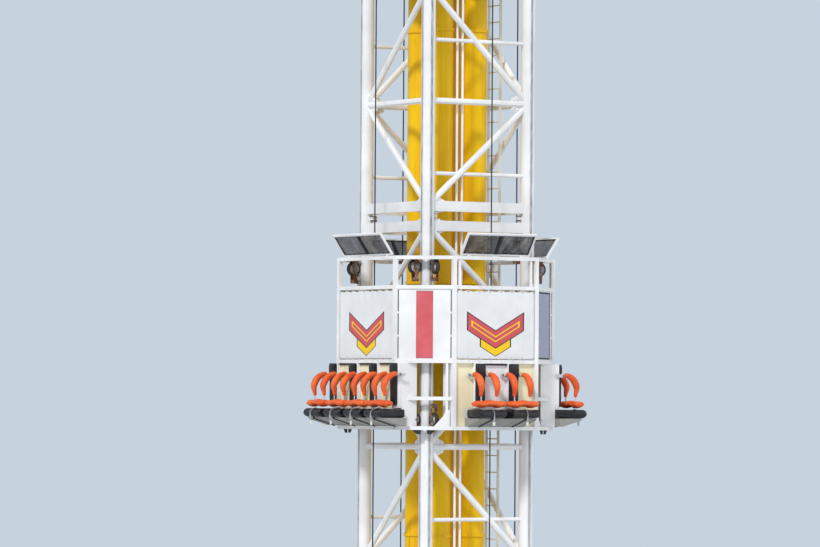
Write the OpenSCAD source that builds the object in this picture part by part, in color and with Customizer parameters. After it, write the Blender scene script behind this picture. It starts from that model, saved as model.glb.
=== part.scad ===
// Drop tower ride: a square lattice tower on four pipe legs with four drive cylinders inside,
// and a seat carriage for twelve riders that runs up and down the outside of the legs.
// Every length is in millimetres, +Z is up and the origin is on the ground at the tower's centre.
// A side's own frame has +X outwards, +Y along the side and +Z up.

/* [Tower] */
// Distance between the centres of two neighbouring legs
tower_span = 2450; // [2300:50:2600]
// Outer diameter of a leg pipe
leg_d = 290; // [260:10:320]
// Wall of a leg pipe
leg_wall = 10; // [6:1:20]
// Height of one lattice bay
bay_h = 2380; // [2300:20:2500]
// Number of bays below the bolted section joint
bays_below = 4; // [4:1:5]
// Number of bays above the bolted section joint
bays_above = 2; // [2:1:3]
// Width of a main lattice bar
main_bar = 120; // [90:5:150]
// Width of a thin bar between two levels
thin_bar = 78; // [50:2:100]
// Thickness of a gusset plate
gusset_t = 16; // [8:1:30]
// Length of a gusset plate along its bars
gusset_l = 420; // [350:10:480]
// Width of a gusset plate at its narrow end
gusset_narrow = 220; // [180:10:260]
// Height of a gusset plate at its leg
gusset_h = 600; // [500:10:700]

/* [Section joint] */
// Depth of one joint beam
joint_beam_h = 212; // [160:4:260]
// Width of one joint beam
joint_beam_w = 110; // [80:5:150]
// Open height between the two joint beams
joint_gap = 196; // [150:2:260]
// Thickness of one joint flange
joint_flange_t = 30; // [20:2:50]
// How far a joint flange stands out from its leg
joint_flange_out = 90; // [70:5:110]

/* [Base and head] */
// Depth of the beams of the base frame
base_beam_h = 200; // [160:10:240]
// Width of the beams of the base and head frames
base_beam_w = 200; // [160:10:240]
// Height of the lowest lattice level above the ground
base_h = 1950; // [1900:10:2100]
// Thickness of bed and foot plates
bed_t = 20; // [12:1:30]
// Side of a square leg foot plate
foot_w = 450; // [440:10:500]
// Distance between two anchor bolt holes of a foot
anchor_pitch = 360; // [350:2:370]
// Diameter of an anchor bolt hole
anchor_d = 36; // [24:2:40]
// Height of the leg pipes above the top level
leg_top = 120; // [100:5:200]
// Height of the head sheaves above the head frame
head_sheave_h = 790; // [770:10:900]

/* [Drive] */
// Outer diameter of a drive cylinder
cyl_d = 500; // [420:10:540]
// Wall of a drive cylinder
cyl_wall = 8; // [6:1:20]
// Distance of a cylinder's centre from each middle plane of the tower
cyl_off = 420; // [400:5:460]
// Height of the lowest flange seam above a cylinder's foot
cyl_seam_low = 2810; // [2000:10:3500]
// Height between two flange seams of a cylinder
cyl_seam_h = 5265; // [4500:5:6000]
// How far a seam flange stands out
cyl_flange_out = 26; // [10:1:40]
// Thickness of one seam flange
cyl_flange_t = 28; // [16:1:40]
// Diameter of a wire rope
rope_d = 28; // [20:1:36]
// Distance of the ropes from the carriage frame's centre line
rope_in = 170; // [150:5:190]
// Width of a sheave
sheave_w = 110; // [90:5:130]
// Height of a sheave flange outside the rope
sheave_rim = 32; // [20:1:40]
// Diameter of a sheave axle
sheave_axle_d = 90; // [60:5:110]

/* [Ladder and pipes] */
// Width of the ladder between its rails
ladder_w = 450; // [400:10:500]
// Height between two rungs
rung_pitch = 350; // [250:10:400]
// Distance of the ladder from the centre line of its side's bars
ladder_in = 225; // [180:5:260]
// Diameter of a service pipe
pipe_d = 48; // [30:2:60]
// Distance between the two service pipes
pipe_gap = 130; // [100:5:160]
// Distance of the service pipes from the middle of their side
pipe_side = 375; // [340:5:400]

/* [Carriage] */
// Height from the carriage's bottom ring up to the section joint, at rest
carriage_below_joint = 4372; // [4200:20:4600]
// Distance from the leg faces to the centre line of the carriage frame
frame_out = 550; // [530:5:600]
// Width of a carriage post
post_w = 84; // [60:2:90]
// Width of a carriage bar
ring_w = 75; // [60:1:84]
// Distance of the front and back posts from the leg centre lines
short_inset = 225; // [200:5:260]
// Distance of the left and right posts from the leg centre lines
long_inset = 105; // [90:5:150]
// Height of the short corner bars above the bottom ring
corner_bar_z = 610; // [500:10:700]
// Height of the bar under the banners above the bottom ring
mid_bar_z = 1373; // [1350:1:1450]
// Height of the bar over the banners above the bottom ring
upper_bar_z = 2894; // [2700:10:3000]
// Height of the top ring above the bottom ring
top_ring_z = 3500; // [3450:10:3600]
// Thickness of a banner
banner_t = 8; // [6:1:12]
// Thickness of a corner panel
panel_t = 10; // [6:1:16]

/* [Canopies] */
// How far a canopy leans out
canopy_reach = 280; // [200:10:340]
// Height of a canopy from its lower edge to its upper edge
canopy_rise = 405; // [350:5:450]
// Distance of a canopy's end from the post
canopy_inset = 160; // [120:10:200]
// Width of a canopy frame tube
canopy_tube = 40; // [30:2:50]
// Thickness of a canopy pane
pane_t = 8; // [5:1:12]

/* [Guide wheels] */
// Diameter of a guide wheel
wheel_d = 300; // [260:5:310]
// Width of a guide wheel's tyre
wheel_w = 80; // [60:2:90]
// Gap between a tyre and its leg
wheel_gap = 5; // [5:1:10]
// Diameter of a wheel axle
axle_d = 40; // [30:2:50]
// Height of the upper wheel axles above the bottom ring
upper_wheel_z = 3313; // [3290:1:3320]
// Height of the lower wheel axles above the bottom ring
lower_wheel_z = 172; // [165:1:190]
// Thickness of a wheel fork plate
fork_t = 14; // [8:1:16]

/* [Seats] */
// Distance between two seats
seat_pitch = 812; // [780:4:820]
// Depth of the cabinet behind the seats
cab_depth = 360; // [350:5:380]
// Wall of a cabinet
cab_wall = 6; // [3:1:12]
// Distance of the long cabinets' ends outside their posts
cab_over = 205; // [200:5:230]
// Height of a seat pan's top above the bottom ring
pan_z = 407; // [380:1:420]
// Thickness of a seat pan
pan_t = 200; // [150:5:220]
// Width of a seat pan
pan_w = 660; // [600:10:700]
// Reach of a seat pan from the cabinet's face
pan_reach = 672; // [640:4:700]
// Width of a seat back
back_w = 230; // [200:2:240]
// Thickness of a seat back
back_t = 215; // [180:5:230]
// Height of a seat back's lower end above the bottom ring
back_low = 585; // [500:5:600]

/* [Harness] */
// Height of the harness hinge above the bottom ring
hinge_z = 1098; // [1090:1:1110]
// Distance of the harness hinge from the cabinet's face
hinge_out = 122; // [120:1:130]
// Half of the distance between a harness's two arms
arm_half = 190; // [185:1:200]
// Diameter of the foam on an arm
foam_d = 122; // [110:1:126]
// Straight length of an arm from its hinge to its bend
arm_run = 230; // [200:5:240]
// Radius of an arm's bend
arm_bend = 190; // [160:5:200]
// Height of the foam's lower end above the bottom ring
foam_low = 690; // [660:5:720]
// Diameter of a lap pad's edge
lap_d = 166; // [150:2:170]
// Width of a lap pad
lap_w = 700; // [640:10:730]
// Diameter of a harness hinge pin
pin_d = 36; // [30:1:40]

/* [Hidden] */
$fn = 48;
seat_gap = 0.3;
run_gap = 0.4;
corner_share = 1 / cos(22.5);
leg_at = tower_span / 2;
leg_r = leg_d / 2;
z_joint = base_h + bays_below * bay_h;
z_top = z_joint + bays_above * bay_h;
bays = bays_below + bays_above;
side_turn = [-90, 0, 90, 180];
mid_bar_share = [0.53, 0.37, 0, 0.25, 0.37, 0.53, 0.37, 0.53];
joint_off = joint_gap / 2 + joint_beam_h / 2;

car_r = leg_at + leg_r + frame_out;
car_z = z_joint - carriage_below_joint;
rope_r = car_r - rope_in;
face_x = car_r - post_w / 2 - seat_gap;
cab_in = face_x - cab_depth;
cab_low = ring_w / 2 + seat_gap;
cab_top = mid_bar_z - ring_w / 2 - seat_gap;
short_half = leg_at - short_inset;
long_half = leg_at - long_inset;

sheave_r = norm([(rope_r - cyl_off) / 2, cyl_off / 2]);
sheave_x = (rope_r + cyl_off) / 2;
sheave_y = cyl_off / 2;
sheave_yaw = atan2(-cyl_off / 2, (rope_r - cyl_off) / 2);
sheave_out = sheave_r + sheave_rim;
stand_gap = 12;
stand_t = 40;
stand_w = 260;
base_axis_z = base_beam_h + bed_t + sheave_out + 32;
leg_end = z_top + leg_top;
head_z = leg_end + bed_t;
head_top = head_z + base_beam_h;
head_axis_z = head_top + head_sheave_h;
seat_beam_h = 160;
cyl_low = base_h + seat_beam_h / 2 + bed_t;
cyl_high = head_z - seat_gap;
cap_h = 60;

wheel_r = wheel_d / 2;
wheel_x = leg_at + leg_r + wheel_gap + wheel_r;
hub_w = wheel_w + 10;
hub_d = 92;
fork_in = hub_w / 2 + 2;
plate_edge = leg_r + 32;
wheel_room = fork_in + fork_t + 24;

long_seats = [-1.5 * seat_pitch, -0.5 * seat_pitch, 0.5 * seat_pitch, 1.5 * seat_pitch];
short_seats = [-0.5 * seat_pitch, 0.5 * seat_pitch];
hinge_x = face_x + hinge_out;
arm_x = hinge_x + arm_run + arm_bend;
lap_z = pan_z + 14 + lap_d / 2;
lap_out = arm_x - 10;
lap_in = lap_out - 80;
clevis_w = 90;
ear_t = 12;
ear_gap = 4;

function short_side(k) = k % 2 == 0;
function half_of(k) = short_side(k) ? short_half : long_half;
function cab_half(k) = short_side(k) ? short_half : long_half + cab_over;
function seats_of(k) = short_side(k) ? short_seats : long_seats;
function level(i) = base_h + i * bay_h;

// Places its children in the frame of one side: 0 front, 1 right, 2 back, 3 left
module on_side(k) {
    rotate([0, 0, side_turn[k]]) children();
}

// Places its children on one side of the carriage, with z = 0 at the bottom ring
module on_carriage(k) {
    translate([0, 0, car_z]) on_side(k) children();
}

// A box given by its lowest corner and its highest corner
module span_box(low, high) {
    translate(low) cube(high - low);
}

// A ring cut from round bar or plate
module tube(outer_d, inner_d, height) {
    difference() {
        cylinder(d = outer_d, h = height);
        translate([0, 0, -1]) cylinder(d = inner_d, h = height + 2);
    }
}

// An eight-sided bar in the plane of a side, from (y1, z1) to (y2, z2)
module face_bar(y1, z1, y2, z2, width) {
    turn = atan2(y2 - y1, z2 - z1);
    translate([leg_at, y1, z1]) rotate([-turn, 0, 0]) rotate([0, 0, 22.5])
        cylinder(d = width * corner_share, h = norm([y2 - y1, z2 - z1]), $fn = 8);
}

// A gusset plate in the plane of a side where bars meet a leg
module gusset(end, z) {
    translate([leg_at + gusset_t / 2, 0, 0]) rotate([0, -90, 0])
        linear_extrude(height = gusset_t)
            polygon([[z - gusset_h / 2, end * leg_at],
                [z - gusset_narrow / 2, end * (leg_at - gusset_l)],
                [z + gusset_narrow / 2, end * (leg_at - gusset_l)],
                [z + gusset_h / 2, end * leg_at]]);
}

// The leg pipes' outline at the two ends of a side, for cutting bars to fit
module leg_cutters() {
    for (end = [-1, 1])
        translate([leg_at, end * leg_at, 0]) cylinder(r = leg_r + seat_gap, h = head_z);
}

// One side of the lattice, in two sections that meet at the bolted joint
module side_lattice(k) {
    even_end = short_side(k) ? -1 : 1;
    color("white") on_side(k) difference() {
        union() {
            for (i = [0:bays]) if (i != bays_below) face_bar(-leg_at, level(i), leg_at, level(i), main_bar);
            for (i = [0:bays - 1]) {
                from_end = (i - bays_below) % 2 == 0 ? even_end : -even_end;
                low = level(i) + (i == bays_below ? joint_off : 0);
                high = level(i + 1) - (i == bays_below - 1 ? joint_off : 0);
                face_bar(from_end * leg_at, low, -from_end * leg_at, high, main_bar);
                gusset(from_end, low);
                gusset(-from_end, high);
                thin_z = level(i) + mid_bar_share[i] * bay_h;
                if (short_side(k) && mid_bar_share[i] > 0) face_bar(-leg_at, thin_z, leg_at, thin_z, thin_bar);
            }
            for (s = [-1, 1]) translate([0, 0, z_joint + s * joint_off])
                span_box([leg_at - joint_beam_w / 2, -leg_at, -joint_beam_h / 2],
                    [leg_at + joint_beam_w / 2, leg_at, joint_beam_h / 2]);
        }
        leg_cutters();
        span_box([leg_at - foot_w, -leg_at, z_joint - joint_gap / 2],
            [leg_at + foot_w, leg_at, z_joint + joint_gap / 2]);
        span_box([leg_at - foot_w, -leg_at - 1, leg_end], [leg_at + foot_w, leg_at + 1, head_top]);
    }
}

// The inner quarter of a joint flange; the wheels need the outer faces of the legs smooth
module joint_flange() {
    rotate([0, 0, 180]) rotate_extrude(angle = 90) translate([leg_r + seat_gap, 0])
        square([joint_flange_out - seat_gap, joint_flange_t]);
}

// The four anchor bolt holes of one foot
module anchor_holes(low_z, height) {
    for (x = [-1, 1], y = [-1, 1])
        translate([x * anchor_pitch / 2, y * anchor_pitch / 2, low_z - 1])
            cylinder(d = anchor_d, h = height + 2);
}

// Four pipes in two sections each, with a cap plate at the top
module legs() {
    color("white") for (k = [0:3]) on_side(k) translate([leg_at, leg_at, 0]) {
        translate([0, 0, base_beam_h])
            tube(leg_d, leg_d - 2 * leg_wall, z_joint - base_beam_h);
        translate([0, 0, z_joint + seat_gap])
            tube(leg_d, leg_d - 2 * leg_wall, leg_end - z_joint - seat_gap);
        translate([0, 0, leg_end]) cylinder(d = leg_d, h = bed_t);
    }
}

// Foot plates and joint flanges round the leg pipes
module leg_flanges() {
    color("white") for (k = [0:3]) on_side(k) translate([leg_at, leg_at, 0]) {
        translate([0, 0, base_beam_h]) difference() {
            span_box([-foot_w / 2, -foot_w / 2, 0], [foot_w / 2, foot_w / 2, bed_t]);
            translate([0, 0, -1]) cylinder(d = leg_d + 2 * seat_gap, h = bed_t + 2);
            anchor_holes(0, bed_t);
        }
        translate([0, 0, z_joint - joint_flange_t]) joint_flange();
        translate([0, 0, z_joint + seat_gap]) joint_flange();
    }
}

// A pair of pedestals that carries one sheave between them
module sheave_stand(low_z, axis_z) {
    translate([sheave_x, sheave_y, 0]) rotate([0, 0, sheave_yaw])
        for (s = [-1, 1]) translate([0, s * (sheave_w / 2 + stand_gap + stand_t / 2), 0])
            rotate([90, 0, 0]) translate([0, 0, -stand_t / 2]) linear_extrude(height = stand_t)
                difference() {
                    union() {
                        polygon([[-stand_w, low_z - bed_t / 2], [stand_w, low_z - bed_t / 2],
                            [stand_w / 2.6, axis_z], [-stand_w / 2.6, axis_z]]);
                        translate([0, axis_z]) circle(r = stand_w / 2.6);
                    }
                    translate([0, axis_z]) circle(d = sheave_axle_d + 2 * seat_gap);
                }
}

// The beams of a square frame with a cross in its middle
module frame_beams(low_z, height) {
    for (k = [0:3]) on_side(k)
        span_box([leg_at - base_beam_w / 2, -leg_at - base_beam_w / 2, low_z],
            [leg_at + base_beam_w / 2, leg_at + base_beam_w / 2, low_z + height]);
    for (k = [0:3]) on_side(k)
        span_box([0, -base_beam_w / 2, low_z], [leg_at, base_beam_w / 2, low_z + height]);
}

// The plate under one pair of pedestals, from the ring beam to the cross beam
module sheave_bed(low_z) {
    span_box([sheave_x - stand_w - 80, -base_beam_w / 2, low_z],
        [leg_at + base_beam_w / 2, sheave_y + 260, low_z + bed_t]);
}

module base_frame() {
    color("gainsboro") difference() {
        union() {
            frame_beams(0, base_beam_h);
            for (k = [0:3]) on_side(k) {
                translate([leg_at, leg_at, 0])
                    span_box([-foot_w / 2, -foot_w / 2, 0], [foot_w / 2, foot_w / 2, base_beam_h]);
                sheave_bed(base_beam_h);
                sheave_stand(base_beam_h + bed_t, base_axis_z);
            }
        }
        for (k = [0:3]) on_side(k) translate([leg_at, leg_at, 0]) anchor_holes(0, base_beam_h);
    }
}

module head_frame() {
    color("gainsboro") difference() {
        union() {
            frame_beams(head_z, base_beam_h);
            span_box([-cyl_off - cyl_d / 2, -cyl_off - cyl_d / 2, head_z],
                [cyl_off + cyl_d / 2, cyl_off + cyl_d / 2, head_z + bed_t]);
            for (k = [0:3]) on_side(k) {
                sheave_bed(head_top);
                sheave_stand(head_top + bed_t, head_axis_z);
            }
        }
        for (k = [0:3]) on_side(k) translate([cyl_off, cyl_off, head_z - 1])
            cylinder(d = rope_d + 40, h = base_beam_h);
    }
}

// A grooved sheave with its axle, turned about its own axis
module sheave(axis_z) {
    hub_r = sheave_axle_d / 2 + 30;
    groove_r = rope_d / 2 + seat_gap;
    half = sheave_w / 2;
    translate([sheave_x, sheave_y, axis_z]) rotate([0, 0, sheave_yaw]) rotate([90, 0, 0]) {
        difference() {
            rotate_extrude() polygon([[0, -half], [hub_r, -half], [hub_r, -14],
                [sheave_r - 90, -14], [sheave_r - 90, -half], [sheave_out, -half], [sheave_out, half],
                [sheave_r - 90, half], [sheave_r - 90, 14], [hub_r, 14], [hub_r, half], [0, half]]);
            rotate_extrude() {
                translate([sheave_r, 0]) circle(r = groove_r);
                polygon([[sheave_r, -groove_r], [sheave_out + 1, -half + 8],
                    [sheave_out + 1, half - 8], [sheave_r, groove_r]]);
            }
            for (a = [0:60:300]) rotate([0, 0, a]) translate([(hub_r + sheave_r - 90) / 2, 0, -20])
                cylinder(r = (sheave_r - 90 - hub_r) / 4, h = 40);
        }
        translate([0, 0, -half - stand_gap - stand_t - 20])
            cylinder(d = sheave_axle_d, h = sheave_w + 2 * (stand_gap + stand_t + 20));
    }
}

module head_sheaves() {
    color("dimgray") for (k = [0:3]) on_side(k) sheave(head_axis_z);
}

module base_sheaves() {
    color("dimgray") for (k = [0:3]) on_side(k) sheave(base_axis_z);
}

// Half of a ring of rope over or under a sheave
module rope_wrap(axis_z, upward) {
    translate([sheave_x, sheave_y, axis_z]) rotate([0, 0, sheave_yaw]) rotate([90, 0, 0])
        rotate([0, 0, upward ? 0 : 180]) rotate_extrude(angle = 180)
            translate([sheave_r, 0]) circle(d = rope_d);
}

// A straight run of rope that stops just short of what it meets at both ends
module rope_run(low_z, high_z) {
    translate([0, 0, low_z + seat_gap]) cylinder(d = rope_d, h = high_z - low_z - 2 * seat_gap);
}

module ropes() {
    color("black") for (k = [0:3]) on_side(k) {
        translate([rope_r, 0, 0]) rope_run(base_axis_z, head_axis_z);
        rope_wrap(head_axis_z, true);
        rope_wrap(base_axis_z, false);
        translate([cyl_off, cyl_off, 0]) rope_run(cyl_high, head_axis_z);
        translate([cyl_off, cyl_off, 0]) rope_run(base_axis_z, cyl_low);
    }
}

// Two beams and a plate between the lowest bars, on which the cylinders stand
module cylinder_seat() {
    beam_y = cyl_off + cyl_d / 2 + 25;
    reach = leg_at - main_bar / 2 - seat_gap;
    color("gainsboro") difference() {
        union() {
            for (s = [-1, 1]) span_box([-reach, s * beam_y - 75, base_h - seat_beam_h / 2],
                [reach, s * beam_y + 75, base_h + seat_beam_h / 2]);
            span_box([-beam_y - 75, -beam_y - 75, base_h + seat_beam_h / 2],
                [beam_y + 75, beam_y + 75, base_h + seat_beam_h / 2 + bed_t]);
        }
        for (k = [0:3]) on_side(k) translate([cyl_off, cyl_off, base_h])
            cylinder(d = rope_d + 40, h = seat_beam_h);
    }
}

module cylinders() {
    length = cyl_high - cap_h - cyl_low;
    seams = floor((length - cyl_seam_low - cyl_flange_t) / cyl_seam_h);
    color("gold") for (k = [0:3]) on_side(k) translate([cyl_off, cyl_off, cyl_low]) difference() {
        union() {
            cylinder(d = cyl_d, h = length);
            for (i = [0:seams]) translate([0, 0, cyl_seam_low + i * cyl_seam_h - cyl_flange_t])
                cylinder(d = cyl_d + 2 * cyl_flange_out, h = 2 * cyl_flange_t);
        }
        translate([0, 0, -1]) cylinder(d = cyl_d - 2 * cyl_wall, h = length + 2);
    }
}

module cylinder_caps() {
    color("gray") for (k = [0:3]) on_side(k) translate([cyl_off, cyl_off, cyl_high - cap_h]) {
        cylinder(d = cyl_d + 2 * cyl_flange_out, h = cap_h);
    }
}

// Two white pipes clamped to the bars just inside the front of the tower
module service_pipes() {
    pipe_x = leg_at - main_bar / 2 - 70;
    color("white") on_side(0) translate([0, -pipe_side, 0]) {
        for (s = [-1, 1]) translate([pipe_x, s * pipe_gap / 2, base_beam_h])
            cylinder(d = pipe_d, h = leg_end - base_beam_h, $fn = 24);
        for (i = [0:bays]) translate([0, 0, level(i) + (i == bays_below ? joint_off : 0)])
            span_box([pipe_x - 20, -pipe_gap / 2 - pipe_d, -25],
                [leg_at - (i == bays_below ? joint_beam_w : main_bar) / 2 - seat_gap, pipe_gap / 2 + pipe_d, 25]);
    }
}

module ladder() {
    ladder_x = leg_at - ladder_in;
    ladder_low = base_beam_h + bed_t + seat_gap;
    rungs = floor((leg_end - ladder_low) / rung_pitch);
    color("white") on_side(1) translate([0, -ladder_w / 2 - 50, 0]) {
        for (s = [-1, 1]) span_box([ladder_x - 30, s * ladder_w / 2 - 6, ladder_low],
            [ladder_x + 30, s * ladder_w / 2 + 6, leg_end]);
        for (i = [1:rungs]) translate([ladder_x, -ladder_w / 2, ladder_low + i * rung_pitch])
            rotate([-90, 0, 0]) cylinder(d = 24, h = ladder_w, $fn = 8);
        for (i = [0:bays], s = [-1, 1])
            translate([0, s * (ladder_w / 2 + 10), level(i) + (i == bays_below ? joint_off : 0)])
                span_box([ladder_x - 20, -8, -25],
                    [leg_at - (i == bays_below ? joint_beam_w : main_bar) / 2 - seat_gap, 8, 25]);
    }
}

// A flat frame of square tube on one side of the carriage; the posts of the two long sides
// end over the cabinets
module side_frame(k) {
    half = half_of(k);
    post_low = (short_side(k) ? 0 : mid_bar_z) - ring_w / 2;
    color("white") on_carriage(k) {
        for (s = [-1, 1]) translate([car_r, s * half, 0])
            span_box([-post_w / 2, -post_w / 2, post_low], [post_w / 2, post_w / 2, top_ring_z + ring_w / 2]);
        for (z = [0, mid_bar_z, upper_bar_z, top_ring_z]) translate([car_r, 0, z])
            span_box([-ring_w / 2, -half, -ring_w / 2], [ring_w / 2, half, ring_w / 2]);
    }
}

// The space of the posts and cabinets beside one corner, for cutting its bars to fit
module corner_cutters(k) {
    g = post_w / 2 + seat_gap;
    next = (k + 1) % 4;
    span_box([car_r - g, half_of(k) - g, -200], [car_r + g, half_of(k) + g, top_ring_z + 200]);
    span_box([half_of(next) - g, car_r - g, -200], [half_of(next) + g, car_r + g, top_ring_z + 200]);
    span_box([cab_in, 0, cab_low], [car_r + post_w, cab_half(k) + seat_gap, cab_top]);
    span_box([0, cab_in, cab_low], [cab_half(next) + seat_gap, car_r + post_w, cab_top]);
}

// Places its children on the slanting line of one corner, with +X along it
module along_corner(k) {
    next = (k + 1) % 4;
    run = [half_of(next) - car_r, car_r - half_of(k)];
    translate([car_r, half_of(k), 0]) rotate([0, 0, atan2(run[1], run[0])]) children();
}

function corner_run(k) = norm([half_of((k + 1) % 4) - car_r, car_r - half_of(k)]);

module corner_frames() {
    color("white") for (k = [0:3]) on_carriage(k) difference() {
        along_corner(k) {
            for (z = [0, corner_bar_z, mid_bar_z, upper_bar_z, top_ring_z])
                span_box([0, -ring_w / 2, z - ring_w / 2], [corner_run(k), ring_w / 2, z + ring_w / 2]);
            span_box([corner_run(k) - 160, -25, 0], [corner_run(k) - 110, 25, mid_bar_z]);
            translate([corner_run(k) - 110, gusset_t / 2, 0]) rotate([90, 0, 0])
                linear_extrude(height = gusset_t) polygon([[0, 0], [0, 260], [-240, 0]]);
        }
        corner_cutters(k);
    }
}

module corner_panels() {
    low = mid_bar_z + ring_w / 2 + seat_gap;
    high = upper_bar_z - ring_w / 2 - seat_gap;
    color("white") for (k = [0:3]) on_carriage(k) difference() {
        along_corner(k) span_box([0, -panel_t / 2, low], [corner_run(k), panel_t / 2, high]);
        corner_cutters(k);
    }
}

module banners() {
    color("whitesmoke") for (k = [0:3]) on_carriage(k)
        span_box([car_r + 12, -half_of(k) + post_w / 2 + seat_gap, mid_bar_z + ring_w / 2 + seat_gap],
            [car_r + 12 + banner_t, half_of(k) - post_w / 2 - seat_gap, upper_bar_z - ring_w / 2 - seat_gap]);
}

// Places its children in a canopy's slanting plane: +Y along the side, +Z up the slope
module on_canopy(k) {
    on_carriage(k) translate([car_r - 20, 0, top_ring_z + ring_w / 2 + canopy_tube])
        rotate([0, atan2(canopy_reach, canopy_rise), 0]) children();
}

function canopy_half(k) = half_of(k) - canopy_inset;
canopy_len = norm([canopy_reach, canopy_rise]);

module canopy_frames() {
    t = canopy_tube / 2;
    color("white") for (k = [0:3]) {
        on_canopy(k) {
            for (z = [0, canopy_len]) span_box([-t, -canopy_half(k), z - t], [t, canopy_half(k), z + t]);
            for (s = [-1, 0, 1]) span_box([-t, s * (canopy_half(k) - t) - t, 0],
                [t, s * (canopy_half(k) - t) + t, canopy_len]);
        }
        on_carriage(k) for (s = [-1, 1])
            span_box([car_r - 20 - t, s * (canopy_half(k) - 200) - 30, top_ring_z + ring_w / 2 + seat_gap],
                [car_r - 20 + t, s * (canopy_half(k) - 200) + 30, top_ring_z + ring_w / 2 + canopy_tube]);
    }
}

module canopy_panes() {
    t = canopy_tube / 2;
    color([0.2, 0.2, 0.22, 0.5]) for (k = [0:3]) on_canopy(k) for (s = [-1, 1])
        span_box([-pane_t / 2, s > 0 ? t + seat_gap : -canopy_half(k) + 2 * t + seat_gap, t + seat_gap],
            [pane_t / 2, s > 0 ? canopy_half(k) - 2 * t - seat_gap : -t - seat_gap, canopy_len - t - seat_gap]);
}

// Blocks with a bush on the top and bottom rings through which the ropes run
module rope_guides() {
    color("white") for (k = [0:3]) on_carriage(k) for (z = [0, top_ring_z]) difference() {
        span_box([rope_r - 50, -60, z - ring_w / 2], [car_r - ring_w / 2 - seat_gap, 60, z + ring_w / 2]);
        translate([rope_r, 0, z - ring_w]) cylinder(d = rope_d + 2 * run_gap, h = 2 * ring_w);
    }
}

// The outline of a corner's bracket plate: inside the corner bar and outside the leg
module bracket_outline(k) {
    next = (k + 1) % 4;
    run = [half_of(next) - car_r, car_r - half_of(k)];
    slope = run[1] / run[0];
    back = (ring_w / 2 + seat_gap) * norm(run) / abs(run[0]);
    edge = leg_at - 120;
    near = leg_at + plate_edge;
    cross_y = half_of(k) + (edge - car_r) * slope - back;
    cross_x = car_r + (edge - half_of(k) + back) / slope;
    inside = face_x;
    intersection() {
        polygon([[edge, near], [edge, cross_y], [cross_x, edge], [near, edge], [near, near]]);
        square(inside);
    }
}

// The fork plates and axle of one wheel whose tyre runs on the +X face of a leg
module wheel_fork(wheel_z, plate_z) {
    up = plate_z > wheel_z;
    low = up ? wheel_z - 50 : plate_z;
    high = up ? plate_z : wheel_z + 50;
    for (s = [-1, 1]) translate([wheel_x - 50, s * (fork_in + fork_t / 2) - fork_t / 2, low])
        cube([100, fork_t, high - low]);
    translate([wheel_x, -fork_in - fork_t - 12, wheel_z]) rotate([-90, 0, 0])
        cylinder(d = axle_d, h = 2 * (fork_in + fork_t + 12));
}

module wheel_brackets(wheel_z, plate_low) {
    color("gainsboro") for (k = [0:3]) on_carriage(k) {
        translate([0, 0, plate_low]) linear_extrude(height = bed_t) bracket_outline(k);
        translate([0, leg_at, 0]) wheel_fork(wheel_z, plate_low);
        rotate([0, 0, 90]) translate([0, -leg_at, 0]) wheel_fork(wheel_z, plate_low);
    }
}

// The two wheels of one side, which turn about one line
module wheel_pair(k, wheel_z) {
    r = axle_d / 2 + run_gap;
    color([0.1, 0.1, 0.1]) on_carriage(k) for (end = [-1, 1])
        translate([wheel_x, end * leg_at, wheel_z]) rotate([90, 0, 0]) rotate_extrude()
            polygon([[r, -hub_w / 2], [hub_d / 2, -hub_w / 2], [hub_d / 2, -14], [wheel_r - 45, -14],
                [wheel_r - 45, -wheel_w / 2], [wheel_r - 8, -wheel_w / 2], [wheel_r, -wheel_w / 2 + 8],
                [wheel_r, wheel_w / 2 - 8], [wheel_r - 8, wheel_w / 2], [wheel_r - 45, wheel_w / 2],
                [wheel_r - 45, 14], [hub_d / 2, 14], [hub_d / 2, hub_w / 2], [r, hub_w / 2]]);
}

// White sheet boxes behind the seats, open towards the tower, slotted for the ropes and
// cut out for the lower wheels
module cabinets() {
    color("white") for (k = [0:3]) on_carriage(k) difference() {
        span_box([cab_in, -cab_half(k), cab_low], [face_x, cab_half(k), cab_top]);
        span_box([cab_in - 1, -cab_half(k) + cab_wall, cab_low + cab_wall],
            [face_x - cab_wall, cab_half(k) - cab_wall, cab_top - cab_wall]);
        span_box([cab_in - 1, -45, cab_low - 1], [rope_r + 45, 45, cab_top + 1]);
        for (end = [-1, 1]) translate([0, end * leg_at, 0])
            span_box([cab_in - 1, -wheel_room, cab_low - 1],
                [wheel_x + wheel_r + 12, wheel_room, cab_low + cab_wall + 1]);
    }
}

// The side view of a seat pan, from the cabinet's face to its round front edge
module pan_profile() {
    nose = pan_t / 2 - 20;
    square([pan_reach - nose, pan_t - 40]);
    translate([pan_reach - nose, nose]) circle(r = nose);
    translate([0, pan_t - 60]) square([pan_reach * 0.62, 60]);
}

module seat_pans() {
    color([0.08, 0.08, 0.08]) for (k = [0:3]) on_carriage(k) for (y = seats_of(k))
        translate([face_x + seat_gap, y + pan_w / 2, pan_z - pan_t]) rotate([90, 0, 0])
            linear_extrude(height = pan_w) pan_profile();
}

module seat_backs() {
    high = cab_top;
    color([0.08, 0.08, 0.08]) for (k = [0:3]) on_carriage(k) for (y = seats_of(k))
        translate([face_x + seat_gap, y, 0]) {
            span_box([0, -back_w / 2, back_low], [back_t - 30, back_w / 2, high]);
            translate([0, 0, back_low]) linear_extrude(height = high - back_low)
                intersection() {
                    translate([back_t - 160, 0]) circle(r = 160);
                    translate([0, -back_w / 2]) square([back_t, back_w]);
                }
        }
}

// Grey trays that slope up under each row of seats
module seat_trays() {
    color("gray") for (k = [0:3]) on_carriage(k) {
        half = (len(seats_of(k)) * seat_pitch - 40) / 2;
        high = pan_z - pan_t - seat_gap;
        translate([face_x + seat_gap, half, 0]) rotate([90, 0, 0]) linear_extrude(height = 2 * half)
            polygon([[0, cab_low], [0, high], [pan_reach - 110, high], [pan_reach - 150, high - 35],
                [60, cab_low]]);
    }
}

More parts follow.
